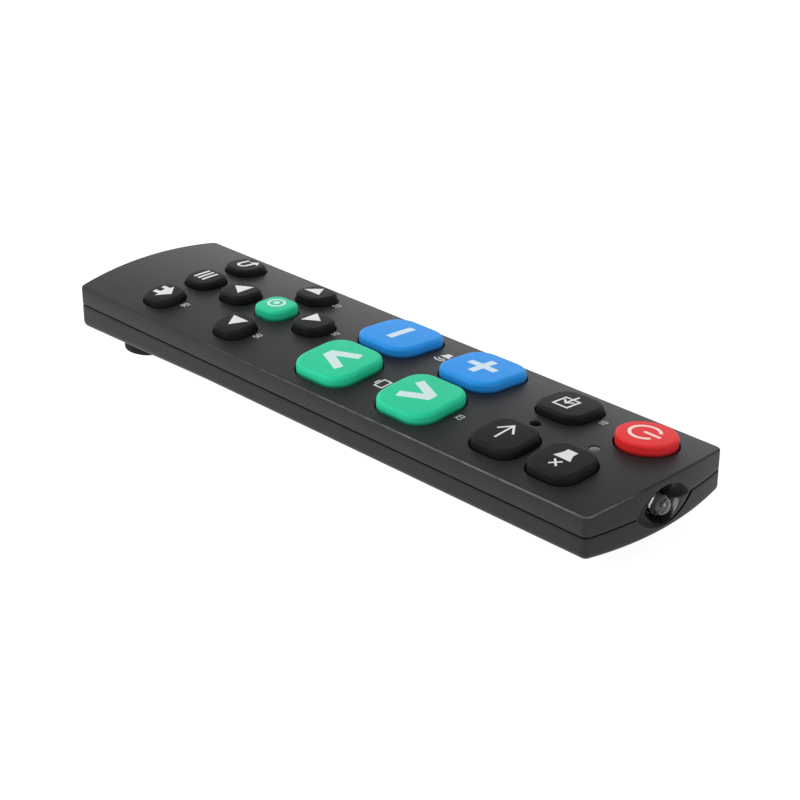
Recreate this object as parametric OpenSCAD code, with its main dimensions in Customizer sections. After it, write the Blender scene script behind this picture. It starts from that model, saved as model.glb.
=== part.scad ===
// Hand-held infrared remote control: two case shells, a rubber keypad with sixteen
// sprung keys, a circuit board, two cells behind a sliding cover and a lamp in the nose.
// X runs across the case, Y from the tail to the nose, Z up from the table.

/* [Case] */
// Width across the long sides
case_w = 46; // [45:0.5:56]
// Length from the tail's tip to the nose's tip
case_l = 179.2; // [176:0.2:210]
// How far each end bows out past its corners
end_bow = 2.45; // [1:0.05:4]
// Radius of the four upright corners
corner_r = 1.8; // [0.8:0.1:3]
// Height of the long edges above the seam
upper_h = 4.98; // [4.6:0.02:8]
// Rise of the top face from its long edges to its middle line
crown = 1.65; // [0.8:0.05:2.4]
// Rounding of the top edge
top_edge_r = 0.45; // [0.2:0.05:0.9]
// Depth of the long edges below the seam
lower_h = 5.4; // [4.8:0.1:7]
// Sag of the underside from its long edges to its middle line
belly = 0.86; // [0.4:0.02:1.4]
// Rounding of the bottom edge
bottom_edge_r = 1.5; // [0.8:0.1:2.2]
// Thickness of the side walls
wall = 1.5; // [1.2:0.1:1.9]
// Thickness of the top face
top_wall = 1.5; // [1.2:0.1:2]
// Thickness of the underside
floor_wall = 1.5; // [1.2:0.1:2]
// Height of the groove at the seam
seam_gap = 0.3; // [0.1:0.05:0.5]
// Thickness of the lip that locates the two shells
lip_t = 0.8; // [0.6:0.1:1.2]
// Clearance between the lip and the upper shell
lip_gap = 0.1; // [0.05:0.05:0.2]

/* [Keys] */
// Diameter of the round power key
power_d = 14.4; // [12:0.1:15]
// Side of the four large keys
big_key = 17.9; // [15:0.1:18.4]
// Corner radius of the large keys
big_key_r = 5; // [3:0.1:6]
// Side of the three middle-sized keys
mid_key = 13.7; // [11:0.1:14.2]
// Corner radius of the middle-sized keys
mid_key_r = 3.8; // [2:0.1:5]
// Side of the eight small keys
small_key = 9.7; // [8:0.1:10.6]
// Corner radius of the small keys
small_key_r = 3; // [1.5:0.1:3.4]
// Height of the power key above the top face
power_rise = 2.6; // [1.5:0.05:4]
// Height of the large keys above the top face
big_rise = 2.55; // [1.5:0.05:4]
// Height of the middle-sized keys above the top face
mid_rise = 2.1; // [1.5:0.05:4]
// Height of the four arrow keys above the top face
arrow_rise = 2.3; // [1.5:0.05:4]
// Height of the last row of keys above the top face
last_rise = 1.9; // [1.5:0.05:4]
// Height of the centre key above the top face
centre_rise = 2.5; // [1.5:0.05:4]
// How far a key goes down
travel = 0.9; // [0.5:0.05:1.4]
// Clearance around a key
key_gap = 0.3; // [0.15:0.05:0.4]
// Length of the two lugs that keep a key in the case
ear_len = 0.7; // [0.5:0.05:0.85]
// Thickness of the lugs
ear_t = 0.4; // [0.3:0.05:0.6]
// Width of the power key's lugs
power_ear_w = 6; // [4:0.5:8]
// Clearance between the lugs and the top face
ear_gap = 0.1; // [0.05:0.05:0.3]

/* [Key places] */
// Distance of the power key from the nose tip
power_row = 14; // [12.5:0.1:15]
// Distance of the mute key from the nose tip
mute_row = 19.8; // [18:0.1:20.3]
// Distance of the second row of keys from the nose tip
second_row = 36.5; // [36:0.1:40]
// Distance of the upper large keys from the nose tip
big_row = 63.3; // [59:0.1:66]
// Distance from the upper to the lower large keys
big_pitch = 27.5; // [22:0.1:29]
// Distance of the centre key from the nose tip
centre_row = 125.2; // [123:0.1:128]
// Distance from the centre key to the keys before and behind it
cross_pitch = 14; // [13:0.1:15]
// Distance from the centre key to the last row of keys
last_pitch = 28; // [27.2:0.1:32]
// Sideways place of the power key
power_x = 10.7; // [9.5:0.1:11.5]
// Sideways place of the middle-sized keys
mid_x = 10.95; // [9.5:0.05:11.5]
// Sideways place of the large keys
big_x = 10.35; // [9.9:0.05:10.6]
// Sideways place of the outer small keys
small_x = 13.7; // [12.5:0.1:14.5]
// Distance of the indicator lamp from the nose tip
indicator_row = 19.9; // [18:0.1:22]
// Distance of the pinhole from the nose tip
pinhole_row = 37.2; // [35:0.1:40]

/* [Board and keypad] */
// Thickness of the circuit board
board_t = 1; // [0.8:0.1:1.6]
// Clearance between the board's edge and the upper shell
board_gap = 0.4; // [0.2:0.05:0.6]
// Thickness of the keypad's base sheet
mat_t = 0.8; // [0.5:0.05:0.9]
// Diameter of the carbon contact under a key
pill_d = 4; // [3:0.1:5]
// Thickness of the carbon contact
pill_t = 0.35; // [0.2:0.05:0.6]
// Thickness of the copper contacts on the board
pad_t = 0.1; // [0.05:0.05:0.2]
// Slot between the two halves of a copper contact
pad_slot = 0.5; // [0.3:0.1:1]
// Rest of the gap under a carbon contact at full travel
touch_gap = 0.05; // [0.02:0.01:0.1]

/* [Nose] */
// Diameter of the infrared lamp
led_d = 5; // [4:0.1:5.4]
// Length of the lamp's barrel behind its dome
led_barrel = 5.1; // [4.5:0.1:5.8]
// Diameter of the collar at the lamp's back
led_collar_d = 5.8; // [5.7:0.1:6.2]
// Thickness of that collar
led_collar_t = 1; // [0.6:0.1:1.4]
// How far the lamp stands out past the nose tip
led_proud = 1; // [0.2:0.1:1.6]
// Clearance around the lamp
led_gap = 0.15; // [0.1:0.05:0.3]
// Thickness of the lamp's legs
leg_t = 0.5; // [0.4:0.05:0.6]
// Distance between the lamp's legs
leg_pitch = 2.54; // [2:0.02:3]
// Width of the dish around the lamp
dish_w = 17.8; // [14:0.1:19]
// Height of the dish above the seam
dish_up = 5.1; // [4:0.1:5.2]
// Depth of the dish below the seam
dish_down = 4.1; // [3.5:0.1:4.4]
// How deep the dish goes in
dish_depth = 3.2; // [2:0.1:3.6]
// Wall behind the dish
dish_wall = 0.8; // [0.6:0.1:1]
// Clearance between that wall and the lower shell
dish_gap = 0.15; // [0.1:0.05:0.3]

/* [Top face details] */
// Diameter of the indicator's light guide
guide_d = 2.4; // [1.6:0.1:3.2]
// Clearance around the light guide
guide_gap = 0.05; // [0.02:0.01:0.15]
// Diameter of the pinhole
pinhole_d = 2.7; // [1.5:0.1:3.4]

/* [Cells] */
// Diameter of a cell
cell_d = 10.5; // [10:0.1:11.5]
// Length of a cell without its cap
cell_l = 43.7; // [40:0.1:46]
// Diameter of a cell's cap
cap_d = 3.8; // [3:0.1:5]
// Height of a cell's cap
cap_h = 0.8; // [0.5:0.1:1.4]
// Gap between the two cells
cell_gap = 0.4; // [0.2:0.1:1]
// Clearance between the cells and the sides of the bay
bay_gap = 0.3; // [0.2:0.1:0.6]
// Clearance between the cells and the board
board_clear = 0.35; // [0.2:0.05:0.8]
// Distance of the middle of the bay from the nose tip
bay_row = 87.6; // [84:0.1:92]
// Thickness of the contact plates
plate_t = 0.4; // [0.3:0.05:0.6]
// Width of a contact plate
plate_w = 9; // [7:0.1:9.6]
// Height of a contact plate
plate_h = 8.4; // [6:0.1:9]
// Width of the solder tab on a contact plate
tab_w = 1.8; // [1:0.1:3]
// Free room for a spring
spring_l = 5.5; // [4.5:0.1:7]
// Thickness of the spring wire
wire_d = 0.7; // [0.5:0.05:0.8]
// Diameter of a spring where it meets its plate
spring_d = 7.6; // [6:0.1:8.4]
// Diameter of a spring where it meets the cell
spring_tip_d = 5; // [4:0.1:6]
// Number of curls in a spring
spring_curls = 3.5; // [3:0.5:4]
// Clearance at each end of a spring
spring_gap = 0.1; // [0.05:0.05:0.3]

/* [Battery hump and cover] */
// Wall between the bay and the outside of the hump
hump_wall = 2.8; // [2.4:0.1:3.4]
// Thickness of the end walls of the bay
bay_end = 2; // [1.6:0.1:3]
// Thickness of the bay's walls inside the case
bay_wall = 1.2; // [0.8:0.1:1.6]
// Corner radius of the hump
hump_r = 3; // [1:0.1:4]
// Thickness of the cover
cover_t = 1.6; // [1:0.1:2]
// How far the cover lies above the hump's rim
cover_recess = 0.4; // [0.1:0.05:0.5]
// Clearance between the cells and the cover
cover_clear = 0.15; // [0.1:0.05:0.4]
// How far the cover's edge reaches past the bay on each side
cover_lap = 0.9; // [0.6:0.1:1]
// Width of the tongue on each side of the cover
tongue_w = 0.8; // [0.5:0.05:1]
// Thickness of the tongues
tongue_t = 0.6; // [0.4:0.05:0.7]
// Clearance around the cover and its tongues
slide_gap = 0.18; // [0.1:0.02:0.25]
// How far the cover tucks into the end wall
tuck = 0.8; // [0.4:0.1:1.2]
// Number of grip grooves in the cover
grip_n = 5; // [3:1:8]
// Length of a grip groove
grip_l = 13; // [6:0.5:18]
// Width of a grip groove
grip_w = 0.8; // [0.5:0.1:1.2]
// Distance between grip grooves
grip_pitch = 2; // [1.5:0.1:3]
// Depth of a grip groove
grip_depth = 0.35; // [0.2:0.05:0.5]

/* [Feet and screws] */
// Diameter of the two round feet
foot_d = 11; // [9.5:0.1:12]
// Sideways place of the feet
foot_x = 12.9; // [11:0.1:14]
// Distance of the feet behind the last row of keys
foot_pitch = 9.4; // [9:0.1:11]
// Flare where a foot meets the underside
foot_flare = 1; // [0.4:0.1:1.6]
// Diameter of the rubber pads
pad_d = 9; // [7.5:0.1:9.2]
// Thickness of the rubber pads
pad_h = 1.5; // [1:0.1:2.5]
// How far a pad is let into its foot
pad_sink = 0.7; // [0.4:0.1:0.9]
// Clearance around a pad
pad_gap = 0.15; // [0.05:0.05:0.3]
// Diameter of the screws
screw_d = 2; // [1.6:0.1:2.4]
// Length of a screw below its head
screw_l = 7; // [6:0.1:7.4]
// Diameter of a screw's head
head_d = 4; // [3.4:0.1:4.4]
// Height of a screw's head
head_h = 1.4; // [1:0.1:1.8]
// Length of the cross in a screw's head
cross_l = 2.4; // [1.6:0.1:2.8]
// Width of the cross in a screw's head
cross_w = 0.6; // [0.4:0.05:0.8]
// Clearance between a screw and its thread
thread_gap = 0.02; // [0.01:0.01:0.05]
// Free depth of a thread past the screw's tip
thread_room = 0.5; // [0.2:0.1:0.7]
// Clearance between a screw and the lower shell
screw_gap = 0.3; // [0.2:0.05:0.4]
// Diameter of the posts that take the screws
post_d = 4.6; // [4:0.1:4.8]
// Gap between a post and the lower shell's boss
post_gap = 0.1; // [0.05:0.05:0.3]
// Height of the lower shell's screw bosses above its floor
boss_h = 1.4; // [1:0.1:2]
// Plastic between a screw's head and the top of its boss
boss_web = 2; // [1.5:0.1:2.4]

/* [Board parts] */
// Distance of the controller chip from the nose tip
chip_row = 36; // [32:0.5:38]
// Distance of the can capacitor and the resonator from the nose tip
parts_row = 46; // [44:0.5:50]
// Sideways place of the can capacitor
can_x = 13; // [11:0.5:15]
// Sideways place of the resonator
resonator_x = 11; // [9.5:0.5:14]
// Sideways place of the lamp's driver transistor
driver_x = 7.5; // [6:0.5:12]
// Distance of the driver transistor from the nose tip
driver_row = 22; // [20:0.5:26]
// Width of the driver transistor
driver_w = 2.5; // [1.5:0.1:3]
// Length of the driver transistor
driver_l = 3; // [2:0.1:4]
// Height of the driver transistor
driver_h = 1.2; // [0.8:0.1:2]
// Sideways place of the resistors
resistor_x = 8; // [7:0.5:9]
// Number of resistors
resistor_n = 4; // [2:1:5]
// Sideways place of the ceramic capacitors
ceramic_x = 6.8; // [6:0.2:9]
// Number of ceramic capacitors
ceramic_n = 3; // [2:1:5]
// Distance between the small board parts
bit_pitch = 4; // [3:0.5:4.5]
// Width of the controller chip
chip_w = 5.3; // [4:0.1:7]
// Length of the controller chip
chip_l = 10.2; // [8:0.1:12]
// Height of the controller chip
chip_h = 1.75; // [1:0.05:2.2]
// Number of legs on each side of the chip
chip_legs = 8; // [4:1:9]
// Distance between the chip's legs
chip_pitch = 1.27; // [1:0.01:1.3]
// Reach of the chip's legs past its body
chip_reach = 1.2; // [0.8:0.1:1.6]
// Diameter of the can capacitor
can_d = 4; // [3:0.1:4.4]
// Length of the can capacitor
can_l = 7; // [5:0.1:8]
// Length of the resonator
resonator_l = 7; // [5:0.1:8]
// Width of the resonator
resonator_w = 3; // [2:0.1:4]
// Height of the resonator
resonator_h = 2.4; // [1.5:0.1:3]
// Length of a small board part
bit_l = 2; // [1.4:0.1:2.4]
// Width of a small board part
bit_w = 1.25; // [0.8:0.05:1.5]
// Height of a small board part
bit_h = 0.6; // [0.4:0.05:1]

/* [Hidden] */
half_w = case_w / 2;
nose_y = case_l / 2;
round_n = 48;
corner_n = 3;
bow_n = 12;
eps = 0.01;
over = 1;
far = 400;

// Circle of the bowed ends, of the crowned top and of the ceiling under it
end_rad = (half_w * half_w + end_bow * end_bow) / (2 * end_bow);
crown_rad = (half_w * half_w + crown * crown) / (2 * crown);
crown_z = upper_h + crown - crown_rad;

// Points along an arc, ends included
function arc(cx, cy, r, a0, a1, n) =
    [for (k = [0 : n]) [cx + r * cos(a0 + (a1 - a0) * k / n), cy + r * sin(a0 + (a1 - a0) * k / n)]];

// Nose half of the case's outline drawn in by an inset, from the right side to the left
function nose_half(inset) =
    let(cr = max(corner_r - inset, corner_r / 4))
    let(cx = half_w - inset - cr)
    let(mid = nose_y - end_rad)
    let(rise = sqrt(pow(end_rad - inset - cr, 2) - cx * cx))
    let(turn = atan2(rise, cx))
    let(bow = arc(0, mid, end_rad - inset, turn, 180 - turn, bow_n))
    concat(
        arc(cx, mid + rise, cr, 0, turn, corner_n),
        [for (k = [1 : bow_n - 1]) bow[k]],
        arc(-cx, mid + rise, cr, 180 - turn, 180, corner_n)
    );
function outline(inset) =
    let(half = nose_half(inset))
    concat(half, [for (k = [len(half) - 1 : -1 : 0]) [half[k].x, -half[k].y]]);

// One ring of a shell: the outline at a height, arched across the width by a rise
function ring(inset, z, rise) =
    [for (p = outline(inset)) [p.x, p.y, z + rise * (1 - pow(p.x / half_w, 2))]];
function flat(rings) = [for (r = rings, p = r) p];

// Height of the ceiling under the top face, at a place across the width
function ceiling(x) = crown_z + sqrt(pow(crown_rad - top_wall, 2) - x * x);
// Height of the underside's outer face, at a place across the width
function under(x) = -lower_h - belly * (1 - pow(x / half_w, 2));

// Places and sizes of the keys: x, y, size, corner radius, rise, width of the lugs
function key_y(row) = nose_y - row;
function square_key(x, row, size, r, rise) = [x, key_y(row), size, r, rise, size - 2 * r];
POWER = [-power_x, key_y(power_row), power_d, power_d / 2, power_rise, power_ear_w];
MUTE = square_key(mid_x, mute_row, mid_key, mid_key_r, mid_rise);
SOURCE = square_key(-mid_x, second_row, mid_key, mid_key_r, mid_rise);
RECALL = square_key(mid_x, second_row, mid_key, mid_key_r, mid_rise);
VOLUME_UP = square_key(-big_x, big_row, big_key, big_key_r, big_rise);
VOLUME_DOWN = square_key(-big_x, big_row + big_pitch, big_key, big_key_r, big_rise);
CHANNEL_UP = square_key(big_x, big_row, big_key, big_key_r, big_rise);
CHANNEL_DOWN = square_key(big_x, big_row + big_pitch, big_key, big_key_r, big_rise);
UP = square_key(0, centre_row - cross_pitch, small_key, small_key_r, arrow_rise);
DOWN = square_key(0, centre_row + cross_pitch, small_key, small_key_r, arrow_rise);
LEFT = square_key(-small_x, centre_row, small_key, small_key_r, arrow_rise);
RIGHT = square_key(small_x, centre_row, small_key, small_key_r, arrow_rise);
OK = square_key(0, centre_row, small_key, small_key_r, centre_rise);
BACK = square_key(-small_x, centre_row + last_pitch, small_key, small_key_r, last_rise);
MENU = square_key(0, centre_row + last_pitch, small_key, small_key_r, last_rise);
HOME = square_key(small_x, centre_row + last_pitch, small_key, small_key_r, last_rise);
KEYS = [
    POWER, MUTE, SOURCE, RECALL, VOLUME_UP, VOLUME_DOWN, CHANNEL_UP, CHANNEL_DOWN,
    UP, DOWN, LEFT, RIGHT, OK, BACK, MENU, HOME
];

// Heights from the ceiling down to the table, measured from the seam
ear_top = ceiling(max([for (k = KEYS) abs(k[0]) + k[5] / 2])) - ear_gap;
key_z = ear_top - ear_t;
pill_z = key_z - pill_t;
board_top = pill_z - travel - touch_gap - pad_t;
board_z = board_top - board_t;
cell_z = board_z - board_clear - cell_d / 2;
cover_top = cell_z - cell_d / 2 - cover_clear;
cover_z = cover_top - cover_t;
table_z = cover_z - cover_recess;

// The bay and its hump
bay_y = nose_y - bay_row;
bay_len = 2 * plate_t + spring_l + cell_l + cap_h;
bay_y0 = bay_y - bay_len / 2;
bay_y1 = bay_y + bay_len / 2;
cell_x = (cell_d + cell_gap) / 2;
bay_hw = cell_x + cell_d / 2 + bay_gap;
hump_hw = bay_hw + hump_wall;
hump_len = bay_len + 2 * bay_end;
cover_hw = bay_hw + cover_lap;
cover_y0 = bay_y0 - tuck;
cover_len = bay_y1 + bay_end - cover_y0;
plate_z = cell_z - plate_h / 2;

// The feet, their pads and screws
foot_y = nose_y - centre_row - last_pitch - foot_pitch;
foot_z = table_z + pad_h - pad_sink;
boss_top = under(foot_x) + floor_wall + boss_h;
seat_z = boss_top - boss_web;

// The board's outline stops short of the posts and of the dish
board_y0 = foot_y + post_d / 2 + board_gap;
board_y1 = nose_y - dish_depth - dish_wall - end_bow * pow(dish_w / case_w, 2) - board_gap;
led_y = nose_y + led_proud - led_d / 2;
led_back = led_y - led_barrel - led_collar_t;
notch_y = led_back - board_gap;
notch_hw = led_collar_d / 2 + board_gap;
leg_y = notch_y - 3 * leg_t;

// Lengthways places of the parts under the board
chip_y = nose_y - chip_row;
parts_y = nose_y - parts_row;

// Colours
charcoal = "#3f3f41";
soft_black = "#27282a";
signal_red = "#e0403a";
sky_blue = "#419fee";
mint_green = "#33c397";
steel = "#b9bcc0";
copper = "#c98b4a";
rubber_black = "#18181a";

// Puts a piece that is measured from the seam and the case's middle on the table,
// centred between the tail's tip and the lamp's tip
module on_table() {
    translate([0, -led_proud / 2, -table_z]) children();
}

// A closed shell through rings listed from the lowest to the highest
module ringed_solid(rings) {
    n = len(rings[0]);
    top = (len(rings) - 1) * n;
    sides = [for (j = [0 : len(rings) - 2], k = [0 : n - 1])
        [j * n + k, (j + 1) * n + k, (j + 1) * n + (k + 1) % n, j * n + (k + 1) % n]];
    lower = [for (k = [0 : n / 2 - 2]) [k, k + 1, n - 2 - k, n - 1 - k]];
    upper = [for (k = [0 : n / 2 - 2]) [top + n - 1 - k, top + n - 2 - k, top + k + 1, top + k]];
    polyhedron(flat(rings), concat(sides, lower, upper));
}

module upper_solid() {
    bend = top_edge_r * (1 - cos(45));
    ringed_solid([
        ring(0, seam_gap / 2, 0),
        ring(0, upper_h - top_edge_r, crown),
        ring(bend, upper_h - bend, crown),
        ring(top_edge_r, upper_h, crown)
    ]);
}

module lower_solid() {
    turns = [90, 60, 30, 0];
    edge = [for (a = turns)
        ring(bottom_edge_r * (1 - cos(a)), bottom_edge_r * (1 - sin(a)) - lower_h, -belly)];
    ringed_solid(concat(edge, [ring(0, -seam_gap / 2, 0)]));
}

// The case's outline drawn in by an inset, between two heights
module slab(inset, z0, z1) {
    translate([0, 0, z0]) linear_extrude(z1 - z0) polygon(outline(inset));
}

// Everything under a face that runs a distance above the top face's crown
module under_crown(rise) {
    translate([0, 0, crown_z]) rotate([90, 0, 0])
        cylinder(r = crown_rad + rise, h = far, center = true, $fn = 720);
}

module rounded_square(w, l, r) {
    square([w, l - 2 * r], center = true);
    square([w - 2 * r, l], center = true);
    for (sx = [-1, 1], sy = [-1, 1])
        translate([sx * (w / 2 - r), sy * (l / 2 - r)]) circle(r, $fn = round_n);
}

// Outline of a key, grown by a clearance
module key_outline(k, grow) {
    size = k[2] + 2 * grow;
    if (k == POWER)
        circle(d = size, $fn = 2 * round_n);
    else
        rounded_square(size, size, k[3] + grow);
}

// Outline of a key's lugs, grown by a clearance
module ear_outline(k, grow) {
    square([k[5] + 2 * grow, k[2] + 2 * ear_len + 2 * grow], center = true);
}

module key_cap(k, shade) {
    on_table() color(shade) {
        intersection() {
            translate([k[0], k[1], key_z]) linear_extrude(upper_h + crown + k[4])
                key_outline(k, 0);
            under_crown(k[4]);
        }
        translate([k[0], k[1], key_z]) linear_extrude(ear_t) ear_outline(k, 0);
    }
}

module key_pill(k) {
    on_table() color(rubber_black) translate([k[0], k[1], pill_z])
        cylinder(d = pill_d, h = pill_t, $fn = round_n);
}

// Pointed lens outline of the dish, grown by a wall, as points in the X and Z directions
function lens_side(half, rise, n) =
    let(r = (half * half + rise * rise) / (2 * rise))
    let(a = asin(half / r))
    [for (k = [0 : n]) [r * sin(a - 2 * a * k / n), r * cos(a - 2 * a * k / n) - r + rise]];
function lens(grow) =
    let(upper = lens_side(dish_w / 2 + 2 * grow, dish_up + grow, bow_n))
    let(lower = lens_side(dish_w / 2 + 2 * grow, dish_down + grow, bow_n))
    concat(upper, [for (k = [bow_n - 1 : -1 : 1]) [lower[k].x, -lower[k].y]]);

// The dish as a solid that reaches out of the nose
module dish(grow) {
    rim_y = nose_y - end_bow * pow(dish_w / case_w, 2);
    turns = [0, 30, 60, 80];
    points = lens(grow);
    n = len(points);
    front = [[for (p = points) [p.x, nose_y + dish_depth, p.y]]];
    bowl = [for (a = turns)
        [for (p = points) [p.x * cos(a), rim_y - (dish_depth + grow) * sin(a), p.y * cos(a)]]];
    rings = concat(front, bowl);
    last = (len(rings) - 1) * n;
    sides = [for (j = [0 : len(rings) - 2], k = [0 : n - 1])
        [j * n + (k + 1) % n, (j + 1) * n + (k + 1) % n, (j + 1) * n + k, j * n + k]];
    polyhedron(flat(rings), concat(
        sides,
        [[for (k = [0 : n - 1]) k]],
        [[for (k = [n - 1 : -1 : 0]) last + k]]
    ));
}

// A round bar along Y from one place to another
module bar_y(d, y0, y1, x, z) {
    translate([x, y1, z]) rotate([90, 0, 0]) cylinder(d = d, h = y1 - y0, $fn = round_n);
}

module at_feet() {
    for (side = [-1, 1])
        translate([side * foot_x, foot_y, 0]) children();
}

module top_case() {
    on_table() color(charcoal) difference() {
        union() {
            difference() {
                upper_solid();
                intersection() {
                    slab(wall, -over, upper_h + crown);
                    under_crown(-top_wall);
                }
            }
            intersection() {
                dish(dish_wall);
                slab(0, -lower_h, upper_h);
            }
            intersection() {
                at_feet() translate([0, 0, boss_top + post_gap])
                    cylinder(d = post_d, h = upper_h + crown - boss_top, $fn = round_n);
                under_crown(-top_wall / 2);
            }
        }
        dish(0);
        bar_y(led_d + 2 * led_gap, led_back, nose_y, 0, 0);
        for (k = KEYS)
            translate([k[0], k[1], 0]) linear_extrude(far) key_outline(k, key_gap);
        translate([0, nose_y - indicator_row, 0])
            cylinder(d = guide_d + 2 * guide_gap, h = far, $fn = round_n);
        translate([0, nose_y - pinhole_row, 0]) cylinder(d = pinhole_d, h = far, $fn = round_n);
        at_feet() translate([0, 0, boss_top])
            cylinder(d = screw_d + 2 * thread_gap, h = screw_l - boss_web + thread_room, $fn = round_n);
    }
}

// Outside of a foot: a drum with a flare where it leaves the underside
module foot_drum() {
    root_z = under(foot_x);
    curve = arc(foot_d / 2 + foot_flare, root_z - foot_flare, foot_flare, 180, 90, 5);
    rotate_extrude($fn = 2 * round_n)
        polygon(concat([[0, foot_z], [foot_d / 2, foot_z]], curve, [[foot_d / 2, root_z + floor_wall / 2]],
            [[0, root_z + floor_wall / 2]]));
}

// Section of the battery cover, grown by a clearance
module cover_section(grow) {
    translate([-cover_hw - grow, cover_z - grow]) square([2 * (cover_hw + grow), cover_t + 2 * grow]);
    translate([-cover_hw - tongue_w - grow, cover_top - tongue_t - grow])
        square([2 * (cover_hw + tongue_w + grow), tongue_t + 2 * grow]);
}

module along_y(y0, y1) {
    translate([0, y1, 0]) rotate([90, 0, 0]) linear_extrude(y1 - y0) children();
}

module bottom_case() {
    lip_in = wall + lip_gap;
    on_table() color(charcoal) difference() {
        union() {
            difference() {
                lower_solid();
                slab(wall, -lower_h + floor_wall, over);
            }
            difference() {
                union() {
                    slab(lip_in, -seam_gap / 2, board_z);
                    slab(wall - eps, -seam_gap - lip_t, -seam_gap / 2);
                }
                slab(lip_in + lip_t, -far, far);
            }
            translate([0, bay_y, table_z]) linear_extrude(-lower_h + floor_wall - table_z)
                rounded_square(2 * hump_hw, hump_len, hump_r);
            translate([-bay_hw - bay_wall, bay_y - hump_len / 2, -lower_h])
                cube([2 * (bay_hw + bay_wall), hump_len, board_z - board_clear + lower_h]);
            at_feet() {
                foot_drum();
                translate([0, 0, foot_z]) cylinder(d = head_d + 2 * floor_wall, h = boss_top - foot_z,
                    $fn = round_n);
            }
        }
        translate([-bay_hw, bay_y0, -far / 2]) cube([2 * bay_hw, bay_len, far]);
        along_y(cover_y0 - slide_gap, bay_y1 + far) cover_section(slide_gap);
        translate([-cover_hw - slide_gap, cover_y0 - slide_gap, table_z - over])
            cube([2 * (cover_hw + slide_gap), far, over + cover_recess + eps]);
        at_feet() {
            translate([0, 0, foot_z - over])
                cylinder(d = pad_d + 2 * pad_gap, h = over + pad_sink, $fn = round_n);
            translate([0, 0, foot_z])
                cylinder(d = head_d + 2 * screw_gap, h = seat_z - foot_z, $fn = round_n);
            translate([0, 0, foot_z])
                cylinder(d = screw_d + 2 * screw_gap, h = boss_top - foot_z + over, $fn = round_n);
        }
        dish(dish_wall + dish_gap);
    }
}

module battery_cover() {
    on_table() color(charcoal) difference() {
        along_y(cover_y0, cover_y0 + cover_len) cover_section(0);
        for (k = [0 : grip_n - 1])
            translate([-grip_l / 2, bay_y0 + grip_pitch * (k + 2), cover_z - over])
                cube([grip_l, grip_w, over + grip_depth]);
    }
}

module rubber_feet() {
    on_table() color(rubber_black) at_feet() translate([0, 0, table_z])
        cylinder(d = pad_d, h = pad_h, $fn = round_n);
}

module case_screws() {
    on_table() color(steel) at_feet() difference() {
        union() {
            translate([0, 0, seat_z - head_h]) cylinder(d = head_d, h = head_h, $fn = round_n);
            translate([0, 0, seat_z - eps]) cylinder(d = screw_d, h = screw_l + eps, $fn = round_n);
        }
        for (turn = [0, 90])
            translate([0, 0, seat_z - head_h]) rotate([0, 0, turn])
                cube([cross_l, cross_w, head_h], center = true);
    }
}

// The board's outline, notched for the lamp
module board_outline() {
    difference() {
        intersection() {
            polygon(outline(wall + board_gap));
            translate([-case_w, board_y0]) square([2 * case_w, board_y1 - board_y0]);
        }
        translate([-notch_hw, notch_y]) square([2 * notch_hw, case_l]);
    }
}

module keypad_mat() {
    on_table() color(soft_black) translate([0, 0, board_top]) linear_extrude(mat_t) difference() {
        board_outline();
        for (k = KEYS)
            translate([k[0], k[1]]) {
                key_outline(k, key_gap);
                ear_outline(k, key_gap);
            }
        translate([0, nose_y - indicator_row]) circle(d = guide_d + 2 * key_gap, $fn = round_n);
    }
}

module circuit_board() {
    on_table() color("#3b6b3a") translate([0, 0, board_z]) linear_extrude(board_t) board_outline();
}

module contact_pads() {
    on_table() color(copper) for (k = KEYS)
        translate([k[0], k[1], board_top]) linear_extrude(pad_t) difference() {
            circle(d = pill_d + 2 * pad_slot, $fn = round_n);
            square([pad_slot, 2 * pill_d], center = true);
        }
}

module ir_led() {
    on_table() color("#2b2b33") {
        translate([0, led_y, 0]) intersection() {
            sphere(d = led_d, $fn = 2 * round_n);
            translate([-led_d, 0, -led_d]) cube(2 * led_d);
        }
        bar_y(led_d, led_back, led_y, 0, 0);
        bar_y(led_collar_d, led_back, led_back + led_collar_t, 0, 0);
    }
}

module ir_led_legs() {
    bend = [
        [led_back, -leg_t / 2], [led_back, leg_t / 2], [leg_y + leg_t, leg_t / 2],
        [leg_y + leg_t, board_z], [leg_y, board_z], [leg_y, -leg_t / 2]
    ];
    on_table() color(steel) for (side = [-1, 1])
        translate([side * leg_pitch / 2 - leg_t / 2, 0, 0]) rotate([90, 0, 90]) linear_extrude(leg_t)
            polygon(bend);
}

module indicator_led() {
    on_table() color("#d9d6c8") translate([-bit_w / 2, nose_y - indicator_row - bit_l / 2, board_top])
        cube([bit_w, bit_l, bit_h]);
}

module indicator_lens() {
    on_table() color("#8b8c8f") intersection() {
        translate([0, nose_y - indicator_row, board_top + mat_t])
            cylinder(d = guide_d, h = upper_h + crown, $fn = round_n);
        under_crown(0);
    }
}

module controller_chip() {
    on_table() color(rubber_black) translate([-chip_w / 2, chip_y - chip_l / 2, board_z - chip_h])
        cube([chip_w, chip_l, chip_h - pad_t]);
}

module controller_legs() {
    foot = chip_reach / 2;
    leg = [
        [0, -chip_h / 2], [0, -chip_h / 2 - pad_t], [-foot - pad_t, -chip_h / 2 - pad_t],
        [-foot - pad_t, -pad_t], [-chip_reach, -pad_t], [-chip_reach, 0],
        [-foot, 0], [-foot, -chip_h / 2]
    ];
    on_table() color(steel) for (side = [0, 1], k = [0 : chip_legs - 1])
        translate([0, chip_y + chip_pitch * (k - (chip_legs - 1) / 2), board_z]) mirror([side, 0, 0])
            translate([-chip_w / 2, chip_pitch / 6, 0]) rotate([90, 0, 0]) linear_extrude(chip_pitch / 3)
                polygon(leg);
}

module resonator() {
    on_table() color("#c77f2e")
        translate([-resonator_x - resonator_w / 2, parts_y - resonator_l / 2, board_z - resonator_h])
            cube([resonator_w, resonator_l, resonator_h]);
}

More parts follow.
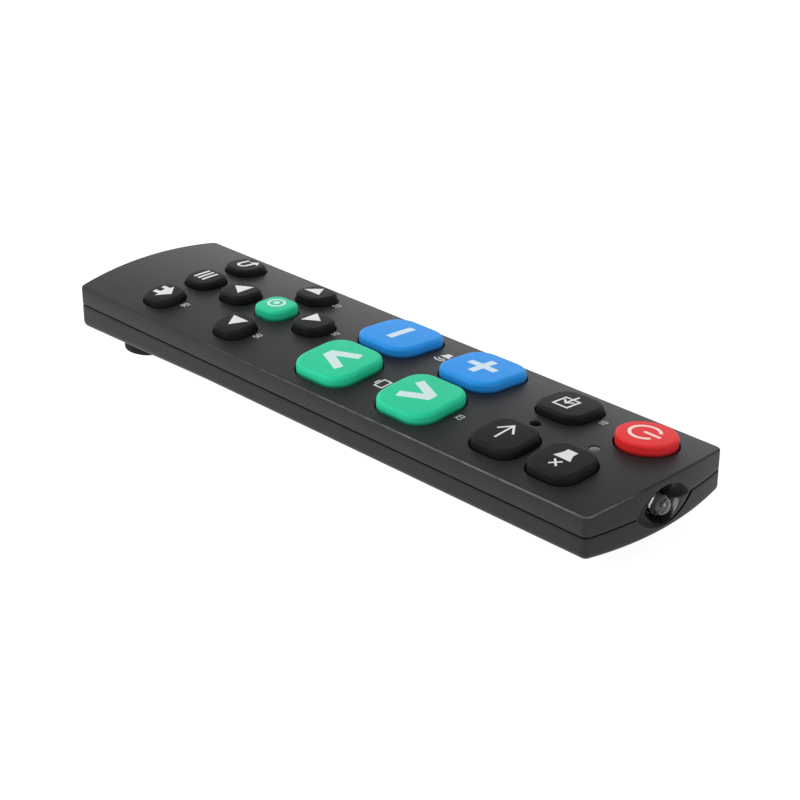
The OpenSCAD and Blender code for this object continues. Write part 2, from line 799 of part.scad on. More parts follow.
module can_capacitor() {
    on_table() color("#32404f")
        bar_y(can_d, parts_y - can_l / 2, parts_y + can_l / 2, can_x, board_z - can_d / 2);
}

module driver_transistor() {
    on_table() color(rubber_black)
        translate([driver_x - driver_w / 2, nose_y - driver_row, board_z - driver_h])
            cube([driver_w, driver_l, driver_h]);
}

// A row of small parts beside the chip
module board_bits(count, x) {
    for (k = [0 : count - 1])
        translate([x - bit_w / 2, chip_y + bit_pitch * (k - count / 2), board_z - bit_h])
            cube([bit_w, bit_l, bit_h]);
}

module chip_resistors() {
    on_table() color("#202024") board_bits(resistor_n, -resistor_x);
}

module chip_capacitors() {
    on_table() color("#b08a5e") board_bits(ceramic_n, ceramic_x);
}

// A cell whose cap points to the nose, from the flat end's place
module cell(x, flat_y, way) {
    on_table() color("#39424e") translate([x, flat_y, cell_z]) rotate([-90 * way, 0, 0]) {
        cylinder(d = cell_d, h = cell_l, $fn = 2 * round_n);
        cylinder(d = cap_d, h = cell_l + cap_h, $fn = round_n);
    }
}

module battery_left() {
    cell(-cell_x, bay_y0 + plate_t + spring_l, 1);
}

module battery_right() {
    cell(cell_x, bay_y1 - plate_t - spring_l, -1);
}

// A contact plate against an end wall of the bay
module contact_plate(x, w, y) {
    translate([x - w / 2, y, plate_z]) cube([w, plate_t, plate_h]);
}

// Solder tab from a contact plate up to the board
module solder_tab(x, y) {
    translate([x - tab_w / 2, y, plate_z]) cube([tab_w, plate_t, board_z - plate_z]);
}

module bridge_plate() {
    on_table() color(steel) contact_plate(0, 2 * cell_x + plate_w, bay_y1 - plate_t);
}

module plus_plate() {
    on_table() color(steel) {
        contact_plate(cell_x, plate_w, bay_y0);
        solder_tab(cell_x, bay_y0);
    }
}

module minus_plate() {
    on_table() color(steel) {
        contact_plate(-cell_x, plate_w, bay_y0);
        solder_tab(-cell_x, bay_y0);
    }
}

// A tapering coil of wire as one tube along Y, from its plate to the cell's flat end
curl_steps = 8;
wire_sides = 6;
coil_n = spring_curls * curl_steps;
coil_len = spring_l - wire_d - 2 * spring_gap;
function coil_point(k) =
    let(share = k / coil_n)
    let(r = (spring_d + (spring_tip_d - spring_d) * share - wire_d) / 2)
    let(turn = 360 * spring_curls * share)
    [r * cos(turn), wire_d / 2 + spring_gap + coil_len * share, r * sin(turn)];
function coil_ring(k) =
    let(turn = 360 * spring_curls * k / coil_n)
    let(c = coil_point(k))
    [for (j = [0 : wire_sides - 1])
        let(a = 360 * j / wire_sides)
        let(out = wire_d / 2 * cos(a))
        [c.x + out * cos(turn), c.y + wire_d / 2 * sin(a), c.z + out * sin(turn)]];

module coil_spring() {
    rings = [for (k = [0 : coil_n]) coil_ring(k)];
    n = wire_sides;
    last = coil_n * n;
    quads = [for (j = [0 : coil_n - 1], k = [0 : n - 1])
        [j * n + k, j * n + (k + 1) % n, (j + 1) * n + (k + 1) % n, (j + 1) * n + k]];
    split = [for (q = quads, half = [0, 1]) half == 0 ? [q[0], q[1], q[2]] : [q[0], q[2], q[3]]];
    polyhedron(flat(rings), concat(
        split,
        [[for (k = [n - 1 : -1 : 0]) k]],
        [[for (k = [0 : n - 1]) last + k]]
    ));
    gaps = [for (a = [0 : coil_n - curl_steps], b = [a + curl_steps - 1 : coil_n])
        norm(coil_point(a) - coil_point(b)) - wire_d];
    echo(least_gap_between_curls = min(gaps));
}

module bridge_spring() {
    on_table() color(steel) translate([cell_x, bay_y1 - plate_t, cell_z]) mirror([0, 1, 0]) coil_spring();
}

module minus_spring() {
    on_table() color(steel) translate([-cell_x, bay_y0 + plate_t, cell_z]) coil_spring();
}

module key_power() { key_cap(POWER, signal_red); }
module key_mute() { key_cap(MUTE, soft_black); }
module key_source() { key_cap(SOURCE, soft_black); }
module key_recall() { key_cap(RECALL, soft_black); }
module key_volume_up() { key_cap(VOLUME_UP, sky_blue); }
module key_volume_down() { key_cap(VOLUME_DOWN, sky_blue); }
module key_channel_up() { key_cap(CHANNEL_UP, mint_green); }
module key_channel_down() { key_cap(CHANNEL_DOWN, mint_green); }
module key_up() { key_cap(UP, soft_black); }
module key_down() { key_cap(DOWN, soft_black); }
module key_left() { key_cap(LEFT, soft_black); }
module key_right() { key_cap(RIGHT, soft_black); }
module key_ok() { key_cap(OK, mint_green); }
module key_back() { key_cap(BACK, soft_black); }
module key_menu() { key_cap(MENU, soft_black); }
module key_home() { key_cap(HOME, soft_black); }

module pill_power() { key_pill(POWER); }
module pill_mute() { key_pill(MUTE); }
module pill_source() { key_pill(SOURCE); }
module pill_recall() { key_pill(RECALL); }
module pill_volume_up() { key_pill(VOLUME_UP); }
module pill_volume_down() { key_pill(VOLUME_DOWN); }
module pill_channel_up() { key_pill(CHANNEL_UP); }
module pill_channel_down() { key_pill(CHANNEL_DOWN); }
module pill_up() { key_pill(UP); }
module pill_down() { key_pill(DOWN); }
module pill_left() { key_pill(LEFT); }
module pill_right() { key_pill(RIGHT); }
module pill_ok() { key_pill(OK); }
module pill_back() { key_pill(BACK); }
module pill_menu() { key_pill(MENU); }
module pill_home() { key_pill(HOME); }

top_case();
bottom_case();
battery_cover();
rubber_feet();
case_screws();
keypad_mat();
circuit_board();
contact_pads();
ir_led();
ir_led_legs();
indicator_led();
indicator_lens();
controller_chip();
controller_legs();
resonator();
can_capacitor();
driver_transistor();
chip_resistors();
chip_capacitors();
battery_left();
battery_right();
bridge_plate();
plus_plate();
minus_plate();
bridge_spring();
minus_spring();
key_power();
key_mute();
key_source();
key_recall();
key_volume_up();
key_volume_down();
key_channel_up();
key_channel_down();
key_up();
key_down();
key_left();
key_right();
key_ok();
key_back();
key_menu();
key_home();
pill_power();
pill_mute();
pill_source();
pill_recall();
pill_volume_up();
pill_volume_down();
pill_channel_up();
pill_channel_down();
pill_up();
pill_down();
pill_left();
pill_right();
pill_ok();
pill_back();
pill_menu();
pill_home();
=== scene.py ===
import math

import bmesh
import bpy
import numpy as np
from mathutils import Matrix, Vector
from mathutils.geometry import delaunay_2d_cdt


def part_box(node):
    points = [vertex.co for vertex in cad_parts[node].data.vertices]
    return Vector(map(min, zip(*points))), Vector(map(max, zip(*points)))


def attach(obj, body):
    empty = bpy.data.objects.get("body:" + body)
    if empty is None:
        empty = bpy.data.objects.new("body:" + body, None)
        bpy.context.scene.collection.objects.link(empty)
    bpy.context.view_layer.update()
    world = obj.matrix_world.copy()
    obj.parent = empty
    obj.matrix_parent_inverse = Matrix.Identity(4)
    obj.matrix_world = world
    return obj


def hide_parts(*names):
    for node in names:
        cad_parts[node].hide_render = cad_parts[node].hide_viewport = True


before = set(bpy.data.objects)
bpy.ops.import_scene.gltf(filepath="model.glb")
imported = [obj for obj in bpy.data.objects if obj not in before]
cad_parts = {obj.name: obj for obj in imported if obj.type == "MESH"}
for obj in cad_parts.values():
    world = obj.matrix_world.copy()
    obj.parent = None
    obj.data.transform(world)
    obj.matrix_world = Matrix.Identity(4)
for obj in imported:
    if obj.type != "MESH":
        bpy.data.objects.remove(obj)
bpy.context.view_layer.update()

# Sizes in millimetres. Z counts from the seam between the shells, Y from the middle of the case.
MM = 0.001
UPPER_H = 4.98
CROWN = 1.65
TOP_EDGE_R = 0.45
LOWER_H = 5.4
BELLY = 0.86
BOTTOM_EDGE_R = 1.5
END_BOW = 2.45
TAIL_FLAT = 0.72
TAIL_SINK = 1.35
TAIL_EDGE_R = 2.0
SINK_FROM = -37.0
CORNER_R = 1.8
WALL = 1.5
SEAM_HALF = 0.18
SEAM_R = 0.14
LIP_IN = 1.65
LIP_T = 0.8
LIP_UP = 1.3
LIP_DOWN = 1.1

# Where the seam and the case's middle lie in the frame
case_low, case_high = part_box("top_case")
ORIGIN = Vector((
    (case_low.x + case_high.x) / 2,
    (case_low.y + case_high.y) / 2,
    case_high.z - (UPPER_H + CROWN) * MM,
))
HALF_W = (case_high.x - case_low.x) / 2 / MM
NOSE_Y = (case_high.y - case_low.y) / 2 / MM
END_RAD = (HALF_W ** 2 + END_BOW ** 2) / (2 * END_BOW)

# Keys and the openings round them; the keys' places and sizes come from the frame
KEY_GAP = 0.26
RIM_R = 0.28
KEY_DRAFT = 0.1
KEY_DOME = 0.1
KEY_WAIST = 0.4
PRINT_T = 0.025
EAR_LEN = 0.7
EAR_T = 0.4
EAR_LAP = 0.4
POWER_EAR = 3.0
GUIDE_GAP = 0.08
PINHOLE_BACK = 37.2
PINHOLE_R = 1.35
# Each key's corner radius, rounding of the top edge, and rubber
KEY_STYLES = {
    "power": (7.2, 0.6, "red"),
    **dict.fromkeys(("mute", "source", "recall"), (4.5, 0.9, "black")),
    **dict.fromkeys(("volume_up", "volume_down"), (5.4, 1.1, "blue")),
    **dict.fromkeys(("channel_up", "channel_down"), (5.4, 1.1, "green")),
    **dict.fromkeys(("up", "down", "left", "right"), (3.6, 0.8, "black")),
    "ok": (3.3, 0.9, "green"),
    **dict.fromkeys(("back", "menu", "home"), (3.6, 0.8, "black")),
}

# The dish round the lamp: a pointed lens in the nose, part of the upper shell
DISH_HALF = 8.9
DISH_UP = 5.1
DISH_DOWN = 4.1
DISH_DEPTH = 3.2
TIP_BEND = 1.3
DISH_RIM = 0.12
DISH_GAP = 0.36
DISH_SHIFT = -0.62
DISH_BACK = 0.9
KEEP_X = 11.5
LAMP_R = 2.5
LAMP_GAP = 0.15

# Fineness of the meshes: counts along curves, and the step and margin of grids inside faces
CORNER_N = 8
BOW_N = 72
DIP_N = 40
LENS_N = 40
BOWL_N = 10
BOWL_BACK_N = 6
POWER_N = 64
SIDE_STEP = 3.0
PRINT_STEP = 0.6
TOP_GRID = (2.5, 1.0)
CEILING_GRID = (6.0, 1.5)
UNDER_GRID = (3.0, 1.2)
FLOOR_GRID = (8.0, 2.0)
# How far those grids are drawn in from the case's outline, and kept from openings
TOP_INSET = 2.2
FLOOR_INSET = 4.0
HOLE_CLEAR = 1.0
# Extra rows of points beside edges, which keep the shading there even
RIM_BAND = 0.25
EDGE_BAND = 0.3
LENS_BANDS = (0.15, 0.4)
# How far cutters reach past what they cut
PAST = 5.0

# Places of skins in the shells' lists of materials
DISH_SKIN, HIGHLIGHT_SKIN, BORE_LIGHT_SKIN = 1, 2, 3
NOTCH_SHADE_SKIN, DRUM_SKIN = 1, 2


def box_mm(node):
    """Lowest and highest corner of a CAD node, in millimetres from the seam and the case's middle."""
    low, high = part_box(node)
    return (low - ORIGIN) / MM, (high - ORIGIN) / MM


# Curves

def arc(cx, cy, r, start, end, n):
    """Points along an arc in the plane, ends included, angles in degrees."""
    turns = [math.radians(start + (end - start) * k / n) for k in range(n + 1)]
    return [(cx + r * math.cos(t), cy + r * math.sin(t)) for t in turns]


def along(a, b, n):
    """Points that part the line from a to b into n steps, without its ends."""
    return [tuple(p + (q - p) * k / n for p, q in zip(a, b)) for k in range(1, n)]


def blend(a, b, share):
    """The place at a share of the way from a to b."""
    return tuple(p + (q - p) * share for p, q in zip(a, b))


def rounding(r, *degrees):
    """Steps of a rounded edge: how far each is drawn in, and how far it drops."""
    return [(r * (1 - math.cos(t)), r * (1 - math.sin(t))) for t in map(math.radians, degrees)]


def at_z(loop, z):
    """A loop of (x, y) at one height."""
    return [(x, y, z) for x, y in loop]


def over(loop, height, drop=0.0):
    """A loop of (x, y) laid on a surface, or some way below it."""
    return [(x, y, height(x, y) - drop) for x, y in loop]


def end_y(x, inset=0.0):
    """Place of the bowed nose at a distance across the case."""
    return NOSE_Y - END_RAD + math.sqrt((END_RAD - inset) ** 2 - x * x)


def bow_edge(inset):
    """Where the bowed end starts, with the centre and radius of the corner beside it."""
    r = max(CORNER_R - inset, CORNER_R / 4)
    cx = HALF_W - inset - r
    rise = math.sqrt((END_RAD - inset - r) ** 2 - cx * cx)
    turn = math.degrees(math.atan2(rise, cx))
    return cx + r * math.cos(math.radians(turn)), cx, NOSE_Y - END_RAD + rise, r, turn


def squeeze(x, inset):
    """Draws a place on the bowed end in by an inset, leaving the dish's stretch as it is."""
    full, drawn = bow_edge(0)[0], bow_edge(inset)[0]
    if abs(x) <= KEEP_X:
        return x
    share = (abs(x) - KEEP_X) / (full - KEEP_X)
    return math.copysign(KEEP_X + share * (drawn - KEEP_X), x)


def bow_line(inset):
    """Points of the bowed nose from the right corner to the left one."""
    full = bow_edge(0)[0]
    xs = [full * math.cos(math.pi * k / BOW_N) for k in range(BOW_N + 1)]
    return [(squeeze(x, inset), end_y(squeeze(x, inset), inset)) for x in xs]


def outline(inset):
    """The case's outline drawn in by an inset, anticlockwise from the nose's right corner."""
    _, cx, cy, r, turn = bow_edge(inset)
    right = arc(cx, cy, r, 0, turn, CORNER_N)[:-1]
    nose = right + bow_line(inset) + [(-x, y) for x, y in reversed(right)]
    tip = NOSE_Y - inset
    tail = [(x, (tip - y) * TAIL_FLAT - tip) for x, y in reversed(nose)]
    steps = int(2 * NOSE_Y / SIDE_STEP)
    return nose + along(nose[-1], tail[0], steps) + tail + along(tail[-1], nose[0], steps)


BOW_START = CORNER_N
BOW_END = CORNER_N + BOW_N


def top_z(x, y=0.0):
    """Height of the crowned top face, the same all along the case."""
    return UPPER_H + CROWN * (1 - (x / HALF_W) ** 2)


def ceiling_z(x, y=0.0):
    return top_z(x) - WALL


def tail_share(y):
    """Goes from 0 to 1 where the underside sinks towards the tail."""
    return min(1.0, max(0.0, (SINK_FROM - y) / (NOSE_Y + SINK_FROM)))


def under_z(x, y=0.0):
    """Height of the underside, which sags across the case and sinks towards the tail."""
    return -LOWER_H - BELLY * (1 - (x / HALF_W) ** 2) - TAIL_SINK * tail_share(y)


def rounded_loop(cx, cy, half_x, half_y, r, per_corner=10, per_side=8):
    """A rectangle with round corners, anticlockwise."""
    corners = [(1, 1), (-1, 1), (-1, -1), (1, -1)]
    arcs = [
        arc(cx + sx * (half_x - r), cy + sy * (half_y - r), r, 90 * k, 90 * k + 90, per_corner)
        for k, (sx, sy) in enumerate(corners)
    ]
    loop = []
    for k, corner in enumerate(arcs):
        loop += corner + along(corner[-1], arcs[(k + 1) % 4][0], per_side)
    return loop


def circle_loop(cx, cy, r, n=32):
    return arc(cx, cy, r, 0, 360, n)[:-1]


def lens_radius(grow, depth):
    """Half width and height of one bow of the dish's outline, and the bow's radius."""
    half = DISH_HALF + 2 * grow
    rise = depth + grow
    return half, rise, (half * half + rise * rise) / (2 * rise)


def lens_side(grow, depth):
    """One bow of the dish's pointed outline, from its right tip to its left one."""
    half, rise, r = lens_radius(grow, depth)
    a = math.asin(half / r)
    turns = [a - 2 * a * k / LENS_N for k in range(LENS_N + 1)]
    return [(r * math.sin(t), r * math.cos(t) - r + rise) for t in turns]


def lens_loop(grow):
    """The dish's pointed outline in X and Z, anticlockwise seen from the nose's inside."""
    lower = [(x, -z) for x, z in reversed(lens_side(grow, DISH_DOWN))]
    return lens_side(grow, DISH_UP) + lower[1:-1]


def seam_path(seam, grow):
    """The upper shell's lower edge across the nose: along the seam, and down round the dish."""
    full = bow_edge(0)[0]
    _, rise, r = lens_radius(grow, DISH_DOWN)
    foot = math.sqrt(r * r - (seam - r + rise) ** 2)
    turn = math.asin(foot / r)
    dip = [turn - 2 * turn * k / DIP_N for k in range(DIP_N + 1)]
    low = [(r * math.sin(t), r - rise - r * math.cos(t)) for t in dip]
    side_n = (BOW_N - DIP_N) // 2
    right = [(full, seam)] + along((full, seam), low[0], side_n)
    left = along(low[-1], (-full, seam), side_n) + [(-full, seam)]
    return right + low + left


# Flat filling

def inside(points, loop):
    """Which points of an array lie inside a loop."""
    p = np.asarray(points, float)
    a = np.asarray(loop, float)
    b = np.roll(a, -1, axis=0)
    hit = np.zeros(len(p), bool)
    for (ax, ay), (bx, by) in zip(a, b):
        if ay == by:
            continue
        spans = (ay > p[:, 1]) != (by > p[:, 1])
        hit ^= spans & (p[:, 0] < ax + (p[:, 1] - ay) * (bx - ax) / (by - ay))
    return hit


def gaps_to(edge, points):
    """Each point's distance from the nearest point of an edge."""
    edge = np.array(edge)
    return np.array([np.min(np.hypot(*(edge - p).T)) for p in points])


def grid_points(loops, step, margin):
    """Points of a square grid inside the first loop, outside the others and clear of all of them."""
    edge = np.array([p for loop in loops for p in loop])
    low, high = edge.min(0), edge.max(0)
    xs = np.arange(low[0] + step / 2, high[0], step)
    ys = np.arange(low[1] + step / 2, high[1], step)
    grid = np.array([(x, y) for y in ys for x in xs]).reshape(-1, 2)
    keep = inside(grid, loops[0])
    for loop in loops[1:]:
        keep &= ~inside(grid, loop)
    grid = grid[keep]
    if not len(grid):
        return []
    return [tuple(p) for p in grid[gaps_to(edge, grid) > margin]]


def fill(solids, holes=(), extra=()):
    """Triangles that cover the solids' loops together, less the holes: points and faces."""
    points, edges = [], []
    for loop in [*solids, *holes]:
        start, count = len(points), len(loop)
        points += [Vector(p) for p in loop]
        edges += [(start + k, start + (k + 1) % count) for k in range(count)]
    points += [Vector(p) for p in extra]
    found = delaunay_2d_cdt(points, edges, [], 0, 1e-5, False)
    flat = np.array([tuple(p) for p in found[0]])
    faces = [list(f) for f in found[2]]
    middle = np.array([flat[f].mean(0) for f in faces])
    keep = np.zeros(len(faces), bool)
    for loop in solids:
        keep |= inside(middle, loop)
    for loop in holes:
        keep &= ~inside(middle, loop)
    return [tuple(p) for p in flat], [f for f, kept in zip(faces, keep) if kept]


# Meshes

BLOCK_FACES = ((0, 1, 3, 2), (4, 5, 7, 6), (0, 1, 5, 4), (2, 3, 7, 6), (0, 2, 6, 4), (1, 3, 7, 5))
LATHE_AXES = {"z": ((1, 0, 0), (0, 1, 0), (0, 0, 1)), "y": ((1, 0, 0), (0, 0, 1), (0, 1, 0))}
# Distances below which points count as one
WELD = 0.0005
SLIVER = 0.0002
SAME_PLACE = 0.001


class Shape:
    """Points in millimetres and faces, built up ring by ring; a face's tint is its material's place."""

    def __init__(self):
        self.points = []
        self.faces = []
        self.tints = []

    def add(self, points):
        start = len(self.points)
        self.points += [tuple(p) for p in points]
        return list(range(start, len(self.points)))

    def face(self, corners, tint=0):
        self.faces.append(list(corners))
        self.tints.append(tint)

    def rings(self, rows, tint=0):
        """Joins closed rows of points by strips; gives the first and the last row's indices."""
        loops = [self.add(r) for r in rows]
        for a, b in zip(loops, loops[1:]):
            for k in range(len(a)):
                n = (k + 1) % len(a)
                self.face((a[k], a[n], b[n], b[k]), tint)
        return loops[0], loops[-1]

    def fan(self, loop, tip, tint=0):
        top = self.add([tip])[0]
        for k in range(len(loop)):
            self.face((loop[k], loop[(k + 1) % len(loop)], top), tint)

    def patch(self, points, faces, tint=0):
        index = self.add(points)
        for f in faces:
            self.face([index[k] for k in f], tint)

    def block(self, low, high, tint=0):
        xs, ys, zs = zip(low, high)
        corners = [(x, y, z) for z in zs for y in ys for x in xs]
        self.patch(corners, BLOCK_FACES, tint)
        return self

    def lathe(self, profile, centre, axis, n=48, tint=0):
        """Turns a profile of (radius, height) about an axis; it starts and ends on the axis."""
        turns = [2 * math.pi * k / n for k in range(n)]
        u, v, w = (Vector(a) for a in LATHE_AXES[axis])
        base = Vector(centre)

        def ring(r, h):
            return [base + u * (r * math.cos(t)) + v * (r * math.sin(t)) + w * h for t in turns]

        first, last = self.rings([ring(r, h) for r, h in profile[1:-1]], tint)
        self.fan(first, base + w * profile[0][1], tint)
        self.fan(last, base + w * profile[-1][1], tint)
        return self

    def mesh(self, name):
        """The welded mesh in metres, in the frame, with its faces turned outwards."""
        made = bpy.data.meshes.new(name)
        made.from_pydata(self.points, [], self.faces)
        made.polygons.foreach_set("material_index", self.tints)
        work = bmesh.new()
        work.from_mesh(made)
        bmesh.ops.remove_doubles(work, verts=work.verts, dist=WELD)
        bmesh.ops.dissolve_degenerate(work, edges=work.edges, dist=SLIVER)
        bmesh.ops.recalc_face_normals(work, faces=work.faces)
        work.transform(Matrix.Translation(ORIGIN) @ Matrix.Scale(MM, 4))
        work.to_mesh(made)
        work.free()
        return made


def capped(rows):
    """A shape of rows joined by strips, with one face on each end."""
    shape = Shape()
    for end in shape.rings(rows):
        shape.face(end)
    return shape


def prism(rows, tint=0):
    """A closed bar along Y: each row is a place along Y and a loop of (x, z) there."""
    shape = Shape()
    shape.rings([[(x, y, z) for x, z in loop] for y, loop in rows], tint)
    for y, loop in (rows[0], rows[-1]):
        flat, faces = fill([loop])
        shape.patch([(x, y, z) for x, z in flat], faces, tint)
    return shape


def placed(name, data):
    """A new object in the scene."""
    made = bpy.data.objects.new(name, data)
    bpy.context.scene.collection.objects.link(made)
    return made


def piece(name, shape, materials, body, stands_for=(), angle=35):
    """Makes an object of a shape, or of a mesh, and puts it on its CAD body."""
    mesh = shape.mesh(name) if isinstance(shape, Shape) else shape
    if not mesh.materials:
        for m in materials:
            mesh.materials.append(m)
    mesh.shade_smooth()
    mesh.set_sharp_from_angle(angle=math.radians(angle))
    made = placed(name, mesh)
    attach(made, body)
    if stands_for:
        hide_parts(*stands_for)


def combined(materials, base, joined, cut_out):
    """The mesh of a base with some shapes joined to it and then others cut out of it."""
    def solid(name, shape):
        mesh = shape.mesh(name)
        for m in materials:
            mesh.materials.append(m)
        return placed(name, mesh)

    work = solid("work", base)
    tools = []
    for operation, shapes in (("UNION", joined), ("DIFFERENCE", cut_out)):
        for shape in shapes:
            tools.append(solid("tool", shape))
            cut = work.modifiers.new("cut", "BOOLEAN")
            cut.operation = operation
            cut.solver = "EXACT"
            cut.object = tools[-1]
    bpy.context.view_layer.update()
    done = work.evaluated_get(bpy.context.evaluated_depsgraph_get())
    result = bpy.data.meshes.new_from_object(done)
    for o in [work, *tools]:
        bpy.data.objects.remove(o)
    return result


# Materials

class Recipe:
    """The node tree of a material, or of the world, built by short calls."""

    def __init__(self, owner, shader="Principled BSDF", place="Object"):
        owner.use_nodes = True
        self.owner = owner
        self.tree = owner.node_tree
        self.shader = self.tree.nodes[shader]
        self.place = self.node("ShaderNodeTexCoord", {}, place)

    def feed(self, socket, value):
        """Links a socket to another one, or gives it a plain value."""
        if isinstance(value, bpy.types.NodeSocket):
            self.tree.links.new(value, socket)
        else:
            socket.default_value = value

    def node(self, kind, inputs, output, **settings):
        """Adds a node, feeds its inputs and gives one of its outputs."""
        made = self.tree.nodes.new(kind)
        for key, value in settings.items():
            setattr(made, key, value)
        for key, value in inputs.items():
            self.feed(made.inputs[key], value)
        return made.outputs[output]

    def set(self, **values):
        """Feeds inputs of the shader."""
        for key, value in values.items():
            self.feed(self.shader.inputs[key.replace("_", " ")], value)

    def noise(self, per_mm, detail=3.0, rough=0.5):
        """Noise with about that many grains in a millimetre."""
        inputs = {"Vector": self.place, "Scale": per_mm / MM, "Detail": detail, "Roughness": rough}
        return self.node("ShaderNodeTexNoise", inputs, "Fac")

    def stops(self, source, *stops):
        """Colours that change from stop to stop; each is a place on the source and a colour."""
        made = self.node("ShaderNodeValToRGB", {"Fac": source}, "Color")
        elements = made.node.color_ramp.elements
        while len(elements) < len(stops):
            elements.new(0.5)
        for element, (position, colour) in zip(elements, stops):
            element.position = position
            element.color = (*colour, 1)
        return made

    def ramp(self, source, low, high, start=0.3, end=0.7):
        """Colours from low to high as the source goes from start to end."""
        return self.stops(source, (start, low), (end, high))

    def spread(self, source, low, high, start=0.3, end=0.7):
        """A number from low to high as the source goes from start to end."""
        inputs = {"Value": source, "From Min": start, "From Max": end, "To Min": low, "To Max": high}
        return self.node("ShaderNodeMapRange", inputs, "Result")

    def compute(self, operation, *values):
        return self.node("ShaderNodeMath", dict(enumerate(values)), "Value", operation=operation)

    def times(self, a, b):
        return self.compute("MULTIPLY", a, b)

    def axis(self, name):
        """The place along an axis of the object, in metres."""
        return self.node("ShaderNodeSeparateXYZ", {"Vector": self.place}, name)

    def stretch(self, axis, start_mm, end_mm):
        """Goes from 0 to 1 along an axis of the object."""
        return self.spread(self.axis(axis), 0.0, 1.0, start_mm * MM, end_mm * MM)

    def from_middle(self, start_mm, end_mm):
        """Goes from 0 to 1 away from the middle plane, to both sides."""
        away = self.compute("ABSOLUTE", self.axis("X"))
        return self.spread(away, 0.0, 1.0, start_mm * MM, end_mm * MM)

    def above_case(self, start_mm, end_mm):
        """Goes from 0 to 1 with the height above the crowned top face."""
        x = self.axis("X")
        level = self.compute("MULTIPLY_ADD", self.times(x, x), CROWN / HALF_W ** 2 / MM, self.axis("Z"))
        top = ORIGIN.z + (UPPER_H + CROWN) * MM
        return self.spread(level, 0.0, 1.0, top + start_mm * MM, top + end_mm * MM)

    def deepened(self, colour, amount):
        """A colour made darker or lighter by a number."""
        return self.node("ShaderNodeHueSaturation", {"Color": colour, "Value": amount}, "Color")

    def bump(self, source, height_mm):
        inputs = {"Height": source, "Distance": height_mm * MM, "Strength": 1.0}
        self.set(Normal=self.node("ShaderNodeBump", inputs, "Normal"))


def recipe(name):
    return Recipe(bpy.data.materials.new(name))


def scaled(colour, factor):
    return tuple(min(1.0, c * factor) for c in colour)


def moulded(name, colour, rough, grain=4.0, height=0.006, mottle=0.08, foot=1.0, **finish):
    """Moulded plastic or rubber with a fine grain and faint blotches; a key's foot may carry painted shade,
    darker towards the case.
    """
    r = recipe(name)
    fine = r.noise(grain, 2.0)
    skin = r.ramp(r.noise(0.12, 4.0), scaled(colour, 1 - mottle), scaled(colour, 1 + mottle))
    # Painted shade: the colour darkens towards the key's foot, just above the crowned top face
    if foot < 1.0:
        skin = r.deepened(skin, r.spread(r.above_case(-0.05, 0.72), foot, 1.0, 0.0, 1.0))
    r.set(Base_Color=skin, Roughness=r.spread(fine, rough - 0.05, rough + 0.05), **finish)
    r.bump(fine, height)
    return r.owner


def metal(name, colour, rough):
    """Plain metal with fine brush marks."""
    r = recipe(name)
    brushed = r.noise(8.0, 2.0)
    tone = r.ramp(brushed, scaled(colour, 0.9), scaled(colour, 1.05))
    r.set(Metallic=1.0, Base_Color=tone, Roughness=r.spread(brushed, rough - 0.06, rough + 0.06))
    r.bump(brushed, 0.002)
    return r.owner


CHARCOAL = (0.0154, 0.0157, 0.0171)
# Lighter grey painted on the top edge's rounding: a painted highlight
PAINTED_HIGHLIGHT_GREY = (0.088, 0.088, 0.09)
DISH_BLACK = (0.006, 0.006, 0.0065)


def polish_and_highlight_plastic():
    """The case's plastic along its top edge, polished in places by handling and painted lighter there as a
    painted highlight, most towards the nose.
    """
    r = recipe("polish_and_highlight_plastic")
    polish_and_highlight = r.times(r.noise(0.5, 4.0, 0.7), r.stretch("Y", -85, 45))
    polish_and_highlight = r.times(polish_and_highlight, r.from_middle(4, 15))
    # The lighter base colour is a painted highlight; the lower roughness and higher specular are the polish
    r.set(
        Base_Color=r.ramp(polish_and_highlight, CHARCOAL, PAINTED_HIGHLIGHT_GREY, 0.15, 0.55),
        Roughness=r.spread(polish_and_highlight, 0.45, 0.3),
        Specular_IOR_Level=r.spread(polish_and_highlight, 0.15, 0.3),
    )
    r.bump(r.noise(4.0, 2.0), 0.004)
    return r.owner


def dish_plastic():
    """The dish's skin: matt like the case towards its right tip, polished on its lower left flank."""
    r = recipe("dish_plastic")
    seam_z = ORIGIN.z / MM
    matt = r.stretch("X", 4.0, 10.0)
    flank = r.times(r.stretch("X", -2.0, -3.5), r.stretch("Z", seam_z + 0.2, seam_z - 0.6))
    r.set(
        Base_Color=r.ramp(matt, DISH_BLACK, CHARCOAL, 0.0, 1.0),
        Roughness=r.spread(matt, 0.18, 0.45, 0.0, 1.0),
        Specular_IOR_Level=r.spread(flank, 0.03, 0.4, 0.0, 1.0),
    )
    r.bump(r.noise(4.0, 2.0), 0.001)
    return r.owner


def silicone(name, colour, rough=0.55, mottle=0.03, gloss=0.16, foot=0.15):
    """Moulded silicone rubber: satin, painted darker towards the key's foot as painted shade, with light
    under its skin.
    """
    return moulded(
        name, colour, rough, 5.0, 0.003, mottle, foot, Specular_IOR_Level=gloss,
        Subsurface_Weight=0.1, Subsurface_Scale=0.5 * MM, Subsurface_Radius=(1.0, 1.0, 1.0),
    )


def printed(name, colour):
    """Screen-printed ink: a little uneven in tone."""
    r = recipe(name)
    ink = r.noise(2.5, 3.0)
    tone = r.ramp(ink, scaled(colour, 0.93), scaled(colour, 1.03))
    r.set(Base_Color=tone, Roughness=r.spread(ink, 0.45, 0.6))
    r.bump(ink, 0.002)
    return r.owner


def clear_epoxy():
    """The lamp's body: clear, faintly smoky resin with small flow marks."""
    r = recipe("clear_epoxy")
    flow = r.noise(0.8, 2.0)
    tone = r.ramp(flow, (0.8, 0.8, 0.82), (0.86, 0.86, 0.88))
    r.set(Base_Color=tone, Roughness=r.spread(flow, 0.0, 0.02))
    r.set(Transmission_Weight=1.0, IOR=1.52, Specular_IOR_Level=0.3)
    return r.owner


